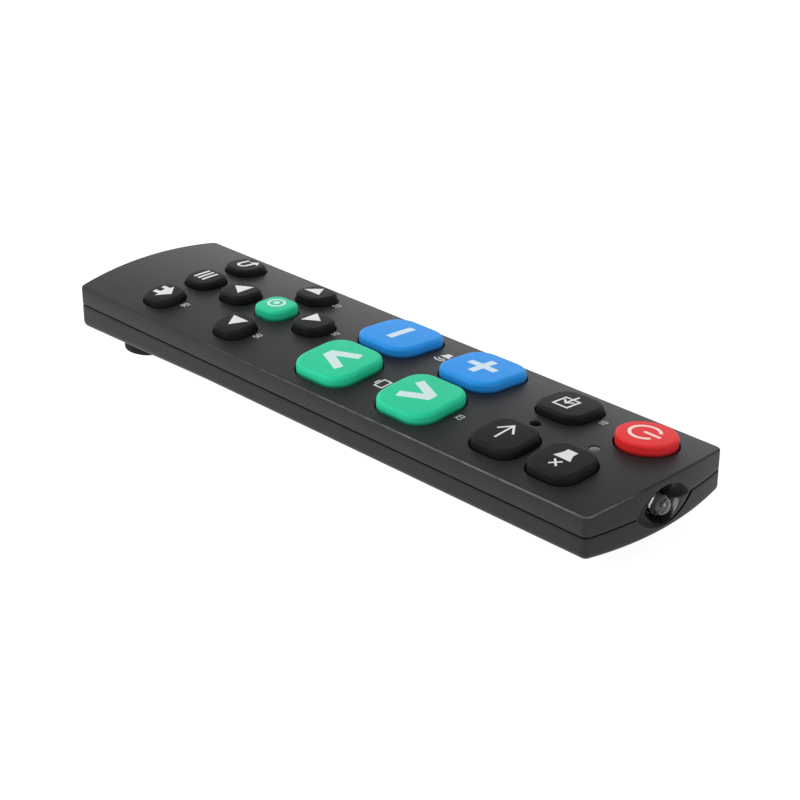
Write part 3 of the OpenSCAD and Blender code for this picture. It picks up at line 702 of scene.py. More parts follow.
def board_laminate():
    """Green solder mask over a faint weave of glass cloth."""
    r = recipe("board_laminate")
    inputs = {"Vector": r.place, "Scale": 0.4 / MM, "Distortion": 1.5}
    weave = r.node("ShaderNodeTexWave", inputs, "Fac", wave_type="BANDS", bands_direction="DIAGONAL")
    tone = r.ramp(weave, (0.02, 0.09, 0.03), (0.03, 0.13, 0.045), 0.1, 0.9)
    r.set(Base_Color=tone, Roughness=r.spread(r.noise(3.0), 0.25, 0.4))
    r.bump(weave, 0.01)
    return r.owner


CASE = moulded("charcoal_plastic", CHARCOAL, 0.45, Specular_IOR_Level=0.15)
# The top edge's plastic, polished and carrying a painted highlight
EDGE_POLISH_AND_HIGHLIGHT = polish_and_highlight_plastic()
DISH = dish_plastic()
# Each key's rubber carries painted shade at the key's foot; foot sets how dark it gets there
RUBBERS = {
    "red": silicone("red_silicone", (0.72, 0.019, 0.021)),
    "blue": silicone("blue_silicone", (0.014, 0.27, 0.76)),
    "green": silicone("green_silicone", (0.014, 0.54, 0.29), foot=0.3),
    "black": silicone("black_silicone", (0.0068, 0.0068, 0.0073), 0.6, 0.08, 0.12, 0.6),
}
# White ink is thin, so the rubber under it tints it
INKS = {
    "red": printed("white_ink_on_red", (0.88, 0.64, 0.61)),
    "blue": printed("white_ink_on_blue", (0.57, 0.7, 0.81)),
    "green": printed("white_ink_on_green", (0.57, 0.73, 0.72)),
    "black": printed("white_ink", (0.68, 0.685, 0.695)),
}
FAINT_INK = printed("grey_ink", (0.5, 0.5, 0.51))
EPOXY = clear_epoxy()
# Milky grey, with light under its skin
GUIDE = moulded(
    "guide_plastic", (0.094, 0.094, 0.098), 0.35, height=0.002,
    Subsurface_Weight=0.3, Subsurface_Scale=0.8 * MM,
)
BOARD = board_laminate()
SLEEVE = moulded("cell_sleeve", (0.03, 0.055, 0.1), 0.25, grain=2.0, height=0.002, Coat_Weight=0.4)
PALE_BAND = printed("pale_band", (0.6, 0.62, 0.62))
STEEL = metal("plated_steel", (0.62, 0.62, 0.63), 0.28)
CUP = metal("silver_cup", (0.85, 0.85, 0.86), 0.12)
COPPER = metal("copper_pads", (0.75, 0.42, 0.2), 0.35)
CARBON = moulded("carbon_rubber", (0.012, 0.012, 0.012), 0.7)
# Near-black with no shine: painted shade on the walls of the dish's notch
SHADE = moulded("painted_gap_shade", (0.003, 0.003, 0.003), 0.9, Specular_IOR_Level=0.0)
DRUM = moulded("drum_rubber", (0.012, 0.012, 0.0125), 0.7, Specular_IOR_Level=0.1)
FOOT_RUBBER = moulded("foot_rubber", (0.012, 0.012, 0.013), 0.72, grain=3.0, height=0.01)
CHIP = moulded("chip_epoxy", (0.012, 0.012, 0.013), 0.55)
# Pale grey for the lamp's plug and the dish's bore wall, much lighter than the case: painted light seen
# through the dome
LAMP_PAINTED_LIGHT_GREY = moulded("lamp_painted_light_grey", (0.2, 0.2, 0.205), 0.5)
CERAMIC = moulded("tan_ceramic", (0.42, 0.24, 0.1), 0.4)
CAN_SLEEVE = moulded("can_sleeve", (0.02, 0.035, 0.07), 0.3, height=0.002)
LAMP_BODY = moulded("lamp_body", (0.6, 0.58, 0.5), 0.4, height=0.002)


# The upper shell

def key_place(name):
    """Centre, half size, height above the top face and lowest place of a key, from its CAD node."""
    low, high = box_mm("key_" + name)
    cx, cy = (low.x + high.x) / 2, (low.y + high.y) / 2
    half = (high.x - low.x) / 2
    near = max(0.0, abs(cx) - half)
    return cx, cy, half, high.z - top_z(near), low.z


def key_loop(name, grow):
    """A key's outline, grown by a clearance or drawn in by a negative one."""
    cx, cy, half, _, _ = key_place(name)
    r = KEY_STYLES[name][0]
    if name == "power":
        return circle_loop(cx, cy, half + grow, POWER_N)
    return rounded_loop(cx, cy, half + grow, half + grow, max(r + grow, r / 3))


guide_low, guide_high = box_mm("indicator_lens")
GUIDE_X = (guide_low.x + guide_high.x) / 2
GUIDE_Y = (guide_low.y + guide_high.y) / 2
GUIDE_R = (guide_high.x - guide_low.x) / 2


def hole_loops(grow):
    """Outlines of all openings in the top face, each widened by grow."""
    loops = [key_loop(name, KEY_GAP + grow) for name in KEY_STYLES]
    loops.append(circle_loop(GUIDE_X, GUIDE_Y, GUIDE_R + GUIDE_GAP + grow))
    loops.append(circle_loop(0.0, NOSE_Y - PINHOLE_BACK, PINHOLE_R + grow))
    return loops


def seam_row(inset, rise):
    """The upper shell's lower edge, which on the nose dips round the dish."""
    level = SEAM_HALF + rise
    row = at_z(outline(inset), level)
    drawn = [(squeeze(x, inset), z) for x, z in seam_path(level, DISH_RIM)]
    row[BOW_START:BOW_END + 1] = [(x, end_y(x, inset), z) for x, z in drawn]
    return row


def bow_part(row):
    """The part of a row on the nose's face, as (x, z)."""
    return [(x, z) for x, _, z in row[BOW_START:BOW_END + 1]]


def without_bow(shape, row, other):
    """Joins two rows of the case everywhere but on the nose's face."""
    a, b = shape.add(row), shape.add(other)
    count = len(a)
    for k in range(BOW_END, BOW_START + count):
        i, j = k % count, (k + 1) % count
        shape.face((a[i], a[j], b[j], b[i]))


def top_face(shape):
    """The crowned top with rounded rims round its openings, their walls, and the ceiling."""
    support = [p for loop in hole_loops(RIM_R + RIM_BAND) for p in loop]
    support += outline(TOP_EDGE_R + EDGE_BAND)
    support += grid_points([outline(TOP_INSET), *hole_loops(RIM_R + EDGE_BAND)], *TOP_GRID)
    flat, faces = fill([outline(TOP_EDGE_R)], hole_loops(RIM_R), support)
    shape.patch(over(flat, top_z), faces)
    rows = [
        [over(loop, top_z, drop) for loop in hole_loops(grow)]
        for drop, grow in rounding(RIM_R, 0, 30, 60, 90)
    ]
    bottoms = [over(loop, ceiling_z) for loop in hole_loops(0)]
    for ring_set in zip(*rows, bottoms):
        shape.rings(ring_set)
    support = grid_points([outline(2 * WALL), *hole_loops(HOLE_CLEAR)], *CEILING_GRID)
    flat, faces = fill([outline(WALL)], hole_loops(0), support)
    shape.patch(over(flat, ceiling_z), faces)


def top_case():
    shape = Shape()
    top_face(shape)
    # Rounded top edge, polished and painted lighter as a painted highlight in the middle of its rounding but
    # for the far half of the nose
    fillet = [over(outline(i), top_z, drop) for i, drop in rounding(TOP_EDGE_R, 90, 72, 55, 35, 18, 0)]
    shape.rings(fillet[:2])
    highlight_from = len(shape.faces)
    shape.rings(fillet[1:5], HIGHLIGHT_SKIN)
    for k in range(highlight_from, len(shape.faces)):
        x, y, _ = shape.points[shape.faces[k][0]]
        if x < 0 and y > end_y(x, TOP_EDGE_R * 2):
            shape.tints[k] = 0
    shape.rings(fillet[4:])
    # Side wall down to the rounded seam edge
    brow = fillet[-1]
    seam = [seam_row(inset, rise) for inset, rise in rounding(SEAM_R, 0, 45, 90)]
    rim = seam_row(WALL, 0)
    roof = over(outline(WALL), ceiling_z)
    without_bow(shape, brow, seam[0])
    shape.rings([*seam, rim])
    without_bow(shape, rim, roof)
    nose_face(shape, (brow, seam[0]), (roof, rim))
    dish_bowl(shape)
    return shape


def behind(x, z):
    """The place on the nose's inner face behind a place on its outer one."""
    share = ceiling_z(x) / (top_z(x) - TOP_EDGE_R)
    return squeeze(x, WALL), z * share if z > SEAM_HALF + SEAM_R else min(z, SEAM_HALF)


def nose_face(shape, outer, inner):
    """The bowed nose round the dish, between the upper and lower row of its front and of its back."""
    lens = lens_loop(0)
    border, back_border = (bow_part(upper) + bow_part(lower)[::-1] for upper, lower in (outer, inner))
    near = [p for grow in LENS_BANDS for p in lens_loop(grow)]
    xs = [x for x, _ in bow_line(0)[2:-2:2] if abs(x) > KEEP_X]
    wide = [(x, share * top_z(x)) for x in xs for share in (0.25, 0.5, 0.75)]
    spare = np.array(near + wide)
    clear = inside(spare, border) & ~inside(spare, lens)
    extra = [tuple(p) for p in spare[clear & (gaps_to(border, spare) > RIM_BAND)]]
    flat, faces = fill([border], [lens], extra)
    shape.patch([(x, end_y(x), z) for x, z in flat], faces)

    def matched(point):
        """The place behind a point, which on the border is the back's own border point."""
        gaps = np.hypot(*(np.array(border) - point).T)
        nearest = int(gaps.argmin())
        return back_border[nearest] if gaps[nearest] < SAME_PLACE else behind(*point)

    shape.patch([(x, end_y(x, WALL), z) for x, z in map(matched, flat)], faces)


def bowl(loop, turns, radius, depth0, depth1, n):
    """Rows from a loop on the nose in to a circle, ever deeper; turns are the angles round the lamp."""
    rows = []
    for k in range(n + 1):
        t = k / n
        row = []
        for (x, z), turn in zip(loop, turns):
            px, pz = blend((x, z), (radius * math.cos(turn), radius * math.sin(turn)), t)
            bend = 1 + TIP_BEND * math.cos(turn) ** 2
            depth = depth0 + (depth1 - depth0) * t ** bend
            row.append((px, end_y(px) - depth, pz))
        rows.append(row)
    return rows


def dish_bowl(shape):
    """The dish from its outline to the lamp's bore, and its back."""
    lens = lens_loop(0)
    hidden = [behind(x, z) for x, z in lens]
    turns = [math.atan2(z, x) for x, z in lens]
    bore = LAMP_R + LAMP_GAP
    front = bowl(lens, turns, bore, 0, DISH_DEPTH, BOWL_N)
    back = bowl(hidden, turns, bore + DISH_BACK, WALL, DISH_DEPTH + DISH_BACK, BOWL_BACK_N)
    back[0] = [(x, end_y(x, WALL), z) for x, z in hidden]
    tube = [(bore * math.cos(t), end_y(0) - DISH_DEPTH - DISH_BACK, bore * math.sin(t)) for t in turns]
    shape.rings(front, DISH_SKIN)
    # The bore wall is painted the plug's pale grey rather than the case's charcoal: painted light inside the
    # lamp
    shape.rings([front[-1], tube, back[-1]], BORE_LIGHT_SKIN)
    shape.rings(back)


# The lower shell with its battery hump and feet

TABLE_Z = -ORIGIN.z / MM
cover_low, cover_high = box_mm("battery_cover")
TONGUE_W = 0.8
TONGUE_T = 0.6
SLIDE_GAP = 0.18
SLOT_UNDER = 3.0
SLOT_REACH = 20.0
HUMP_RIM = 1.9
HUMP_TAIL = 1.2
HUMP_FLARE = 0.8
HUMP_EDGE = 0.5
HUMP_R = 3.0
COVER_HALF = cover_high.x - TONGUE_W
HUMP_HALF = COVER_HALF + HUMP_RIM
HUMP_Y0 = cover_low.y - HUMP_TAIL
HUMP_Y1 = cover_high.y
BAY_LAP = 0.9
BAY_WALL = 1.2
BAY_HALF = COVER_HALF - BAY_LAP
BAY_Y0 = box_mm("minus_plate")[0].y
BAY_Y1 = box_mm("bridge_plate")[1].y
BOARD_Z = box_mm("circuit_board")[0].z
BOARD_GAP = 0.35
foot_low, foot_high = box_mm("rubber_feet")
FOOT_R = 6.2
FOOT_FLARE = 1.0
FOOT_EDGE = 0.7
PAD_R = 4.5
PAD_GAP = 0.15
PAD_SUNK = 0.7
PAD_UNDER = 2.0
FOOT_X = foot_high.x - PAD_R
FOOT_Y = (foot_low.y + foot_high.y) / 2
FOOT_Z = foot_high.z - PAD_SUNK
FOOT_N = 64
# A count whose spokes don't fall on those of the foot
RECESS_N = 61
NOTCH_BACK = 0.6


def bottom_edge(turn):
    """One row of the rounded lower edge, whose radius grows towards the tail."""
    draw_in = 1 - math.cos(turn)
    row = []
    for near, far in zip(outline(BOTTOM_EDGE_R * draw_in), outline(TAIL_EDGE_R * draw_in)):
        share = tail_share(near[1])
        x, y = blend(near, far, share)
        r = BOTTOM_EDGE_R + (TAIL_EDGE_R - BOTTOM_EDGE_R) * share
        row.append((x, y, under_z(x, y) + r * (1 - math.sin(turn))))
    return row


def lower_shell():
    """The lower shell before its hump, feet and cut-outs: closed, with the locating lip."""
    edge = [bottom_edge(math.radians(turn)) for turn in range(0, 91, 15)]
    lip_out = LIP_IN + LIP_T
    floor = -LOWER_H + WALL
    levels = [
        (WALL, floor), (WALL, -LIP_DOWN), (lip_out, -LIP_DOWN), (lip_out, LIP_UP), (LIP_IN, LIP_UP),
        (LIP_IN, -SEAM_HALF),
    ]
    levels += [(inset, -SEAM_HALF - drop) for inset, drop in rounding(SEAM_R, 90, 45, 0)]
    rows = [at_z(outline(inset), z) for inset, z in levels]
    seam = rows[-1]
    for share in (0.25, 0.5, 0.75):
        rows.append([blend(a, b, share) for a, b in zip(seam, edge[0])])
    shape = Shape()
    shape.rings(rows + edge)
    border = [(x, y) for x, y, _ in edge[-1]]
    flat, faces = fill([border], (), grid_points([outline(TAIL_EDGE_R)], *UNDER_GRID))
    shape.patch(over(flat, under_z), faces)
    flat, faces = fill([outline(WALL)], (), grid_points([outline(FLOOR_INSET)], *FLOOR_GRID))
    shape.patch(at_z(flat, floor), faces)
    return shape


def hump():
    """The block under the case that holds the cells, flared where it leaves the underside."""
    cy = (HUMP_Y0 + HUMP_Y1) / 2
    half_y = (HUMP_Y1 - HUMP_Y0) / 2
    root = 1.0
    turns = (0, 30, 60, 90)

    def loop(grow):
        return rounded_loop(0, cy, HUMP_HALF + grow, half_y + grow, HUMP_R + grow, 8, 6)

    rows = [at_z(loop(-inset), TABLE_Z + rise) for rise, inset in rounding(HUMP_EDGE, *turns)]
    rows += [over(loop(grow), under_z, drop) for grow, drop in rounding(HUMP_FLARE, *turns)]
    rows.append(over(loop(0), under_z, -root))
    shape = Shape()
    first, last = shape.rings(rows)
    shape.face(list(reversed(first)))
    shape.fan(last, (0, cy, under_z(0) + root))
    return shape


def bay_walls():
    half = BAY_HALF + BAY_WALL
    return Shape().block((-half, HUMP_Y0, -LOWER_H + 0.2), (half, HUMP_Y1, BOARD_Z - BOARD_GAP))


def bay_space():
    return Shape().block((-BAY_HALF, BAY_Y0, TABLE_Z - PAST), (BAY_HALF, BAY_Y1, 2 * PAST))


def cover_section(grow, bottom):
    """Section of the battery cover in X and Z: a plate with a tongue on each side."""
    plate = COVER_HALF + grow
    tongue = COVER_HALF + TONGUE_W + grow
    top = cover_high.z + grow
    under = cover_high.z - TONGUE_T - grow
    right = [(plate, bottom), (plate, under), (tongue, under), (tongue, top)]
    return right + [(-x, z) for x, z in reversed(right)]


def cover_slot():
    """The space of the cover and its tongues, open towards the nose."""
    section = cover_section(SLIDE_GAP, TABLE_Z - SLOT_UNDER)
    return prism([(cover_low.y - SLIDE_GAP, section), (NOSE_Y + SLOT_REACH, section)])


def foot_drum(side):
    """A round foot with a flare where it leaves the underside."""
    root = under_z(FOOT_X, FOOT_Y)
    drum = [(0, FOOT_Z), (FOOT_R - FOOT_EDGE, FOOT_Z)]
    drum += arc(FOOT_R - FOOT_EDGE, FOOT_Z + FOOT_EDGE, FOOT_EDGE, -60, 0, 3)
    drum += arc(FOOT_R + FOOT_FLARE, root - FOOT_FLARE, FOOT_FLARE, 180, 90, 6)
    drum += [(FOOT_R + FOOT_FLARE, root + 0.5), (0, root + 0.5)]
    return Shape().lathe(drum, (side * FOOT_X, FOOT_Y, 0), "z", FOOT_N, DRUM_SKIN)


def pad_recess(side):
    """The round hollow in a foot that takes its pad."""
    r, below = PAD_R + PAD_GAP, FOOT_Z - PAD_UNDER
    profile = [(0, below), (r, below), (r, foot_high.z), (0, foot_high.z)]
    return Shape().lathe(profile, (side * FOOT_X, FOOT_Y, 0), "z", RECESS_N)


def dish_notch():
    """Room in the lower shell for the dish that dips below the seam, tighter on one side."""
    loop = moved([lens_loop(DISH_RIM + DISH_GAP)], DISH_SHIFT, 0)[0]
    # Its walls take the near-black gap material, painted shade in the gap round the dish
    return prism([(NOSE_Y - DISH_DEPTH - DISH_BACK - NOTCH_BACK, loop), (NOSE_Y + PAST, loop)], NOTCH_SHADE_SKIN)


def bottom_case():
    joined = [hump(), bay_walls(), foot_drum(-1), foot_drum(1)]
    cut_out = [bay_space(), cover_slot(), pad_recess(-1), pad_recess(1), dish_notch()]
    return combined([CASE, SHADE, DRUM], lower_shell(), joined, cut_out)


# The battery cover

COVER_EDGE = 0.1
COVER_CHAMFER = 0.2
GRIP_N = 5
GRIP_L = 13.0
GRIP_W = 0.8
GRIP_PITCH = 2.0
GRIP_DEPTH = 0.35
ARROW_SIZE = 2.2
ARROW_DEPTH = 0.2


def grip_cutter(cy):
    """A round-ended groove across the cover's face, narrower at its floor."""
    face = cover_low.z

    def row(grow, z):
        half_x, half_y = GRIP_L / 2 + grow, GRIP_W / 2 + grow
        return at_z(rounded_loop(0, cy, half_x, half_y, half_y * 0.98, 6, 4), z)

    return capped([row(0.1, face - 0.5), row(0.1, face - 0.02), row(-0.15, face + GRIP_DEPTH)])


def arrow_cutter(y):
    """A sunk triangle that points the way the cover slides."""
    corners = [(-ARROW_SIZE, y), (ARROW_SIZE, y), (0, y + ARROW_SIZE * 1.2)]
    return capped([at_z(corners, z) for z in (cover_low.z - 0.5, cover_low.z + ARROW_DEPTH)])


def battery_cover():
    section = cover_section(0, cover_low.z)
    tight = cover_section(-COVER_EDGE, cover_low.z + COVER_EDGE)
    plate = prism([
        (cover_low.y, tight), (cover_low.y + COVER_EDGE, section),
        (cover_high.y - COVER_CHAMFER, section), (cover_high.y, tight),
    ])
    cuts = [grip_cutter(BAY_Y0 + GRIP_PITCH * (k + 2) + GRIP_W / 2) for k in range(GRIP_N)]
    cuts.append(arrow_cutter(BAY_Y0 + GRIP_PITCH * (GRIP_N + 2.5)))
    return combined([CASE], plate, [], cuts)


# The keys

def key_top(name):
    """A function for the height of a key's softly domed top."""
    cx, cy, half, rise, _ = key_place(name)

    def height(x, y):
        u = min(1.0, abs(x - cx) / half)
        v = min(1.0, abs(y - cy) / half)
        return top_z(x) + rise - PRINT_T - KEY_DOME * (1 - (1 - u * u) * (1 - v * v))

    return height


def key_shape(name):
    """A key: straight foot, drafted and rounded cap, and two ears that hold it under the case."""
    cx, cy, half, _, bottom = key_place(name)
    corner_r, round_r, _ = KEY_STYLES[name]
    height = key_top(name)
    rows = [at_z(key_loop(name, 0), z) for z in (bottom, UPPER_H - KEY_WAIST)]
    for inset, drop in rounding(round_r, *(90 * k / 8 for k in range(9))):
        rows.append(over(key_loop(name, -(KEY_DRAFT + inset)), height, drop))
    last = key_loop(name, -KEY_DRAFT - round_r)
    for percent in range(95, 14, -10):
        rows.append(over([blend((cx, cy), p, percent / 100) for p in last], height))
    shape = Shape()
    first, top = shape.rings(rows)
    shape.fan(top, (cx, cy, height(cx, cy)))
    shape.fan(first, (cx, cy, bottom))
    ear_half = POWER_EAR if name == "power" else half - corner_r
    for side in (-1, 1):
        near, far = sorted((cy + side * (half - EAR_LAP), cy + side * (half + EAR_LEN)))
        shape.block((cx - ear_half, near, bottom), (cx + ear_half, far, bottom + EAR_T))
    return shape


# Legends: flat shapes in millimetres about the key's middle, +Y towards the nose

def bars(width, *ends):
    """Straight strokes, each between two points that are given as x0, y0, x1, y1."""
    strokes = []
    for x0, y0, x1, y1 in ends:
        run = Vector((x1 - x0, y1 - y0)).normalized() * (width / 2)
        corners = ((x0, y0, 1), (x0, y0, -1), (x1, y1, -1), (x1, y1, 1))
        strokes.append([(x - side * run.y, y + side * run.x) for x, y, side in corners])
    return strokes


def band(r, width, start, end, n=28):
    """A stroke along an arc about the middle."""
    return arc(0, 0, r + width / 2, start, end, n) + arc(0, 0, r - width / 2, end, start, n)


def turned(shapes, degrees):
    c, s = math.cos(math.radians(degrees)), math.sin(math.radians(degrees))
    return [[(x * c - y * s, x * s + y * c) for x, y in loop] for loop in shapes]


def moved(shapes, dx, dy, factor=1.0):
    return [[(x * factor + dx, y * factor + dy) for x, y in loop] for loop in shapes]


CHEVRON = [[(-4.7, -3.6), (-2.5, -4.4), (0, 1.0), (2.5, -4.4), (4.7, -3.6), (1.4, 3.9), (-1.4, 3.9)]]
TRIANGLE = [[(-2.75, -1.8), (2.75, -1.8), (0.0, 2.5)]]
SPEAKER = [[(-3.7, -1.5), (-2.1, -1.6), (0.1, -2.5), (0.2, 2.4), (-2.1, 1.3), (-3.7, 1.3)]]
HOUSE = [[
    (-3.2, -0.2), (0, 2.7), (3.2, -0.2), (2.0, -0.2), (2.0, -2.6), (0.8, -2.6), (0.8, -0.9), (-0.8, -0.9),
    (-0.8, -2.6), (-2.0, -2.6), (-2.0, -0.2),
]]

# How far some signs are printed off their key's middle
SIGN_SHIFT = {
    "power": (0.0, -0.6), "source": (-0.2, -0.65), "recall": (-0.15, -0.65), "channel_down": (0.2, -0.1),
    "up": (-0.8, -0.8), "left": (-0.65, -0.65), "down": (-0.6, -0.35), "right": (-0.4, -0.2),
    **dict.fromkeys(("home", "menu", "back", "ok"), (-0.35, -0.35)),
}


def legend_shapes():
    thin = 0.55
    plus = bars(2.0, (-4.2, 0, 4.2, 0), (0, -4.2, 0, 4.2))
    shapes = {
        "power": [band(3.5, 0.85, 122, 418), *bars(0.85, (0, -0.3, 0, 4.3))],
        "mute": SPEAKER + moved(bars(0.5, (-1.1, -1.1, 1.1, 1.1), (-1.1, 1.1, 1.1, -1.1)), 2.3, 0.05),
        "source": bars(
            thin, (-1.5, 2.05, 3.35, 2.05), (3.1, 2.3, 3.1, -2.3), (3.35, -2.05, -1.5, -2.05),
            (-1.5, 2.3, -1.5, -2.3), (-3.7, 0, 1.1, 0), (1.3, 0.15, -0.3, -1.45), (1.3, -0.15, -0.3, 1.45),
        ),
        "recall": bars(thin, (2.9, 0, -3.5, 0), (-3.7, 0.2, -0.5, -2.4), (-3.7, -0.2, -0.5, 2.4)),
        "volume_up": plus,
        "volume_down": plus[:1],
        "channel_up": CHEVRON,
        "channel_down": turned(CHEVRON, 180),
        "home": HOUSE,
        "back": [
            *bars(0.8, (-1.6, 1.4, 1.0, 1.4)), *moved([band(1.3, 0.8, -90, 90)], 1.0, 0.1),
            *bars(0.8, (1.0, -1.2, -2.2, -1.2)), [(-1.4, 3.0), (-3.4, 1.4), (-1.4, -0.2)],
        ],
        "menu": bars(0.75, *((-2.6, y, 2.6, y) for y in (-1.6, 0, 1.6))),
        "ok": [band(2.1, 0.7, 0, 360, 36), circle_loop(0, 0, 0.85, 20)],
    }
    for name, degrees in (("up", 0), ("left", 90), ("down", 180), ("right", 270)):
        shapes[name] = turned(TRIANGLE, degrees)
    return {name: moved(loops, *SIGN_SHIFT.get(name, (0.0, 0.0))) for name, loops in shapes.items()}


def finer(loop, step):
    """The loop with its long edges parted into steps."""
    result = []
    for a, b in zip(loop, loop[1:] + loop[:1]):
        result += [a] + along(a, b, max(1, math.ceil(math.dist(a, b) / step)))
    return result


def print_on(shapes, cx, cy, height):
    """A thin raised print that follows a surface: the shapes' union, closed all round."""
    loops = [finer(loop, PRINT_STEP) for loop in moved(shapes, cx, cy)]
    corners = np.array([p for loop in loops for p in loop])
    (x0, y0), (x1, y1) = corners.min(0), corners.max(0)
    extra = grid_points([[(x0, y0), (x1, y0), (x1, y1), (x0, y1)]], PRINT_STEP, 0.01)
    flat, faces = fill(loops, (), extra)
    used = sorted({k for f in faces for k in f})
    place = {k: n for n, k in enumerate(used)}
    points = [flat[k] for k in used]
    faces = [[place[k] for k in f] for f in faces]
    shape = Shape()
    upper, lower = (shape.add(over(points, height, drop)) for drop in (-PRINT_T, PRINT_T))
    edges = {}
    for f in faces:
        shape.face([upper[k] for k in f])
        shape.face([lower[k] for k in reversed(f)])
        edges.update({(f[k], f[(k + 1) % 3]): None for k in range(3)})
    for a, b in edges:
        if (b, a) not in edges:
            shape.face((upper[a], lower[a], lower[b], upper[b]))
    return shape


# Small marks beside the keys: digits as lines of points, on a grid one unit wide and two high

DIGITS = {
    "0": [[(0, 0), (1, 0), (1, 2), (0, 2), (0, 0)]],
    "1": [[(0.2, 1.6), (0.6, 2), (0.6, 0)]],
    "2": [[(0, 2), (1, 2), (1, 1.1), (0, 0), (1, 0)]],
    "3": [[(0, 2), (1, 2), (0.4, 1.1), (1, 0.7), (0.9, 0), (0, 0)]],
    "4": [[(0.7, 2), (0, 0.7), (1, 0.7)], [(0.7, 1.3), (0.7, 0)]],
    "5": [[(1, 2), (0.1, 2), (0, 1.1), (1, 1), (0.9, 0), (0, 0)]],
    "6": [[(0.9, 2), (0.1, 1.1), (0, 0), (1, 0), (0.9, 1), (0.1, 1)]],
}
DIGIT_STEP = 1.5
DIGIT_STROKE = 0.32
MARK_H = 1.5
# Where the six numbers stand on the top face
NUMBER_PLACES = [(-11.6, 62.3), (9.6, 38.0), (-14.8, -29.2), (-1.4, -15.4), (12.4, -28.7), (12.8, -56.5)]


def number(text, height_mm):
    """A number about its own middle."""
    ends = [
        (x0 + DIGIT_STEP * k, y0, x1 + DIGIT_STEP * k, y1)
        for k, sign in enumerate(text)
        for line in DIGITS[sign]
        for (x0, y0), (x1, y1) in zip(line, line[1:])
    ]
    width = DIGIT_STEP * len(text) - 0.5
    return moved(moved(bars(DIGIT_STROKE, *ends), -width / 2, -1.0), 0, 0, height_mm / 2)


def small_screen():
    """A little screen on a foot, for the channel keys."""
    return bars(
        0.42, (-1.9, 1.5, 1.9, 1.5), (-1.9, -0.9, 1.9, -0.9), (-1.7, 1.5, -1.7, -0.9), (1.7, 1.5, 1.7, -0.9),
        (-0.9, -1.6, 0.9, -1.6),
    )


def small_speaker():
    """A little speaker with two waves, for the volume keys."""
    waves = moved([band(1.5, 0.4, -45, 45, 12), band(2.5, 0.4, -45, 45, 14)], -0.4, 0)
    return moved(SPEAKER, -0.4, 0, 0.6) + waves


# The lamp in the nose

led_low, led_high = box_mm("ir_led")


def lamp_body():
    """Clear lamp: collar, barrel and dome about the Y axis."""
    root = led_low.y
    dome_y = led_high.y - LAMP_R
    collar_r = (led_high.x - led_low.x) / 2
    profile = [
        (0, root), (collar_r - 0.1, root), (collar_r, root + 0.1), (collar_r, root + 0.9),
        (collar_r - 0.1, root + 1.0), (LAMP_R, root + 1.0), (LAMP_R, root + 3.0),
    ]
    profile += [(r, dome_y + h) for r, h in arc(0, 0, LAMP_R, 0, 90, 32)]
    profile[-1] = (0, led_high.y)
    return Shape().lathe(profile, (0, 0, 0), "y", 96)


def lamp_cup():
    """Lead frame inside the lamp: a small reflector cup with the chip in it, and its two posts."""
    root = led_low.y + 0.2
    cup_y = led_high.y - LAMP_R - 2.0
    cup = [
        (0, cup_y), (0.34, cup_y), (0.72, cup_y + 0.5), (0.95, cup_y + 0.5), (0.95, cup_y - 0.6),
        (0.35, cup_y - 0.8), (0, cup_y - 0.8),
    ]
    shape = Shape().lathe(cup, (0, 0, 0), "y", 64)
    shape.block((-1.5, root, -0.3), (-1.1, cup_y - 0.2, 0.3))
    shape.block((-1.45, cup_y - 0.5, -0.3), (-0.8, cup_y - 0.2, 0.3))
    shape.block((1.1, root, -0.3), (1.5, cup_y + 0.2, 0.3))
    shape.block((-0.2, cup_y + 0.02, -0.2), (0.2, cup_y + 0.2, 0.2), 1)
    return shape


def lamp_shade():
    """Grey plug behind the lead frame, which stops light from the case's inside; its pale grey, seen through
    the dome, is painted light.
    """
    r, back, front = 2.3, led_low.y + 0.25, led_low.y + 1.1
    return Shape().lathe([(0, back), (r, back), (r, front), (0, front)], (0, 0, 0), "y", 32)


# Small round pieces

def guide_lens():
    """The light guide, with a slightly domed top."""
    dome = 0.12
    low, high = guide_low.z, guide_high.z
    profile = [
        (0, low), (GUIDE_R, low), (GUIDE_R, high - dome - 0.05), (GUIDE_R - 0.1, high - dome),
        (GUIDE_R * 0.6, high - dome * 0.35), (0, high),
    ]
    return Shape().lathe(profile, (GUIDE_X, GUIDE_Y, 0), "z", 32)


def rubber_pads():
    """The two foot pads, each hollowed a little underneath."""
    round_r = 0.35
    hollow = TABLE_Z + 0.12
    profile = [(0, hollow), (PAD_R * 0.55, hollow), (PAD_R * 0.62, TABLE_Z), (PAD_R - round_r, TABLE_Z)]
    profile += arc(PAD_R - round_r, TABLE_Z + round_r, round_r, -60, 0, 3)
    profile += [(PAD_R, foot_high.z), (0, foot_high.z)]
    shape = Shape()
    for side in (-1, 1):
        shape.lathe(profile, (side * FOOT_X, FOOT_Y, 0), "z", 48)
    return shape


# The cells and their springs

CAP_R = 1.9
CAP_H = 0.8
BAND_FROM = 0.72
CELL_N = 64


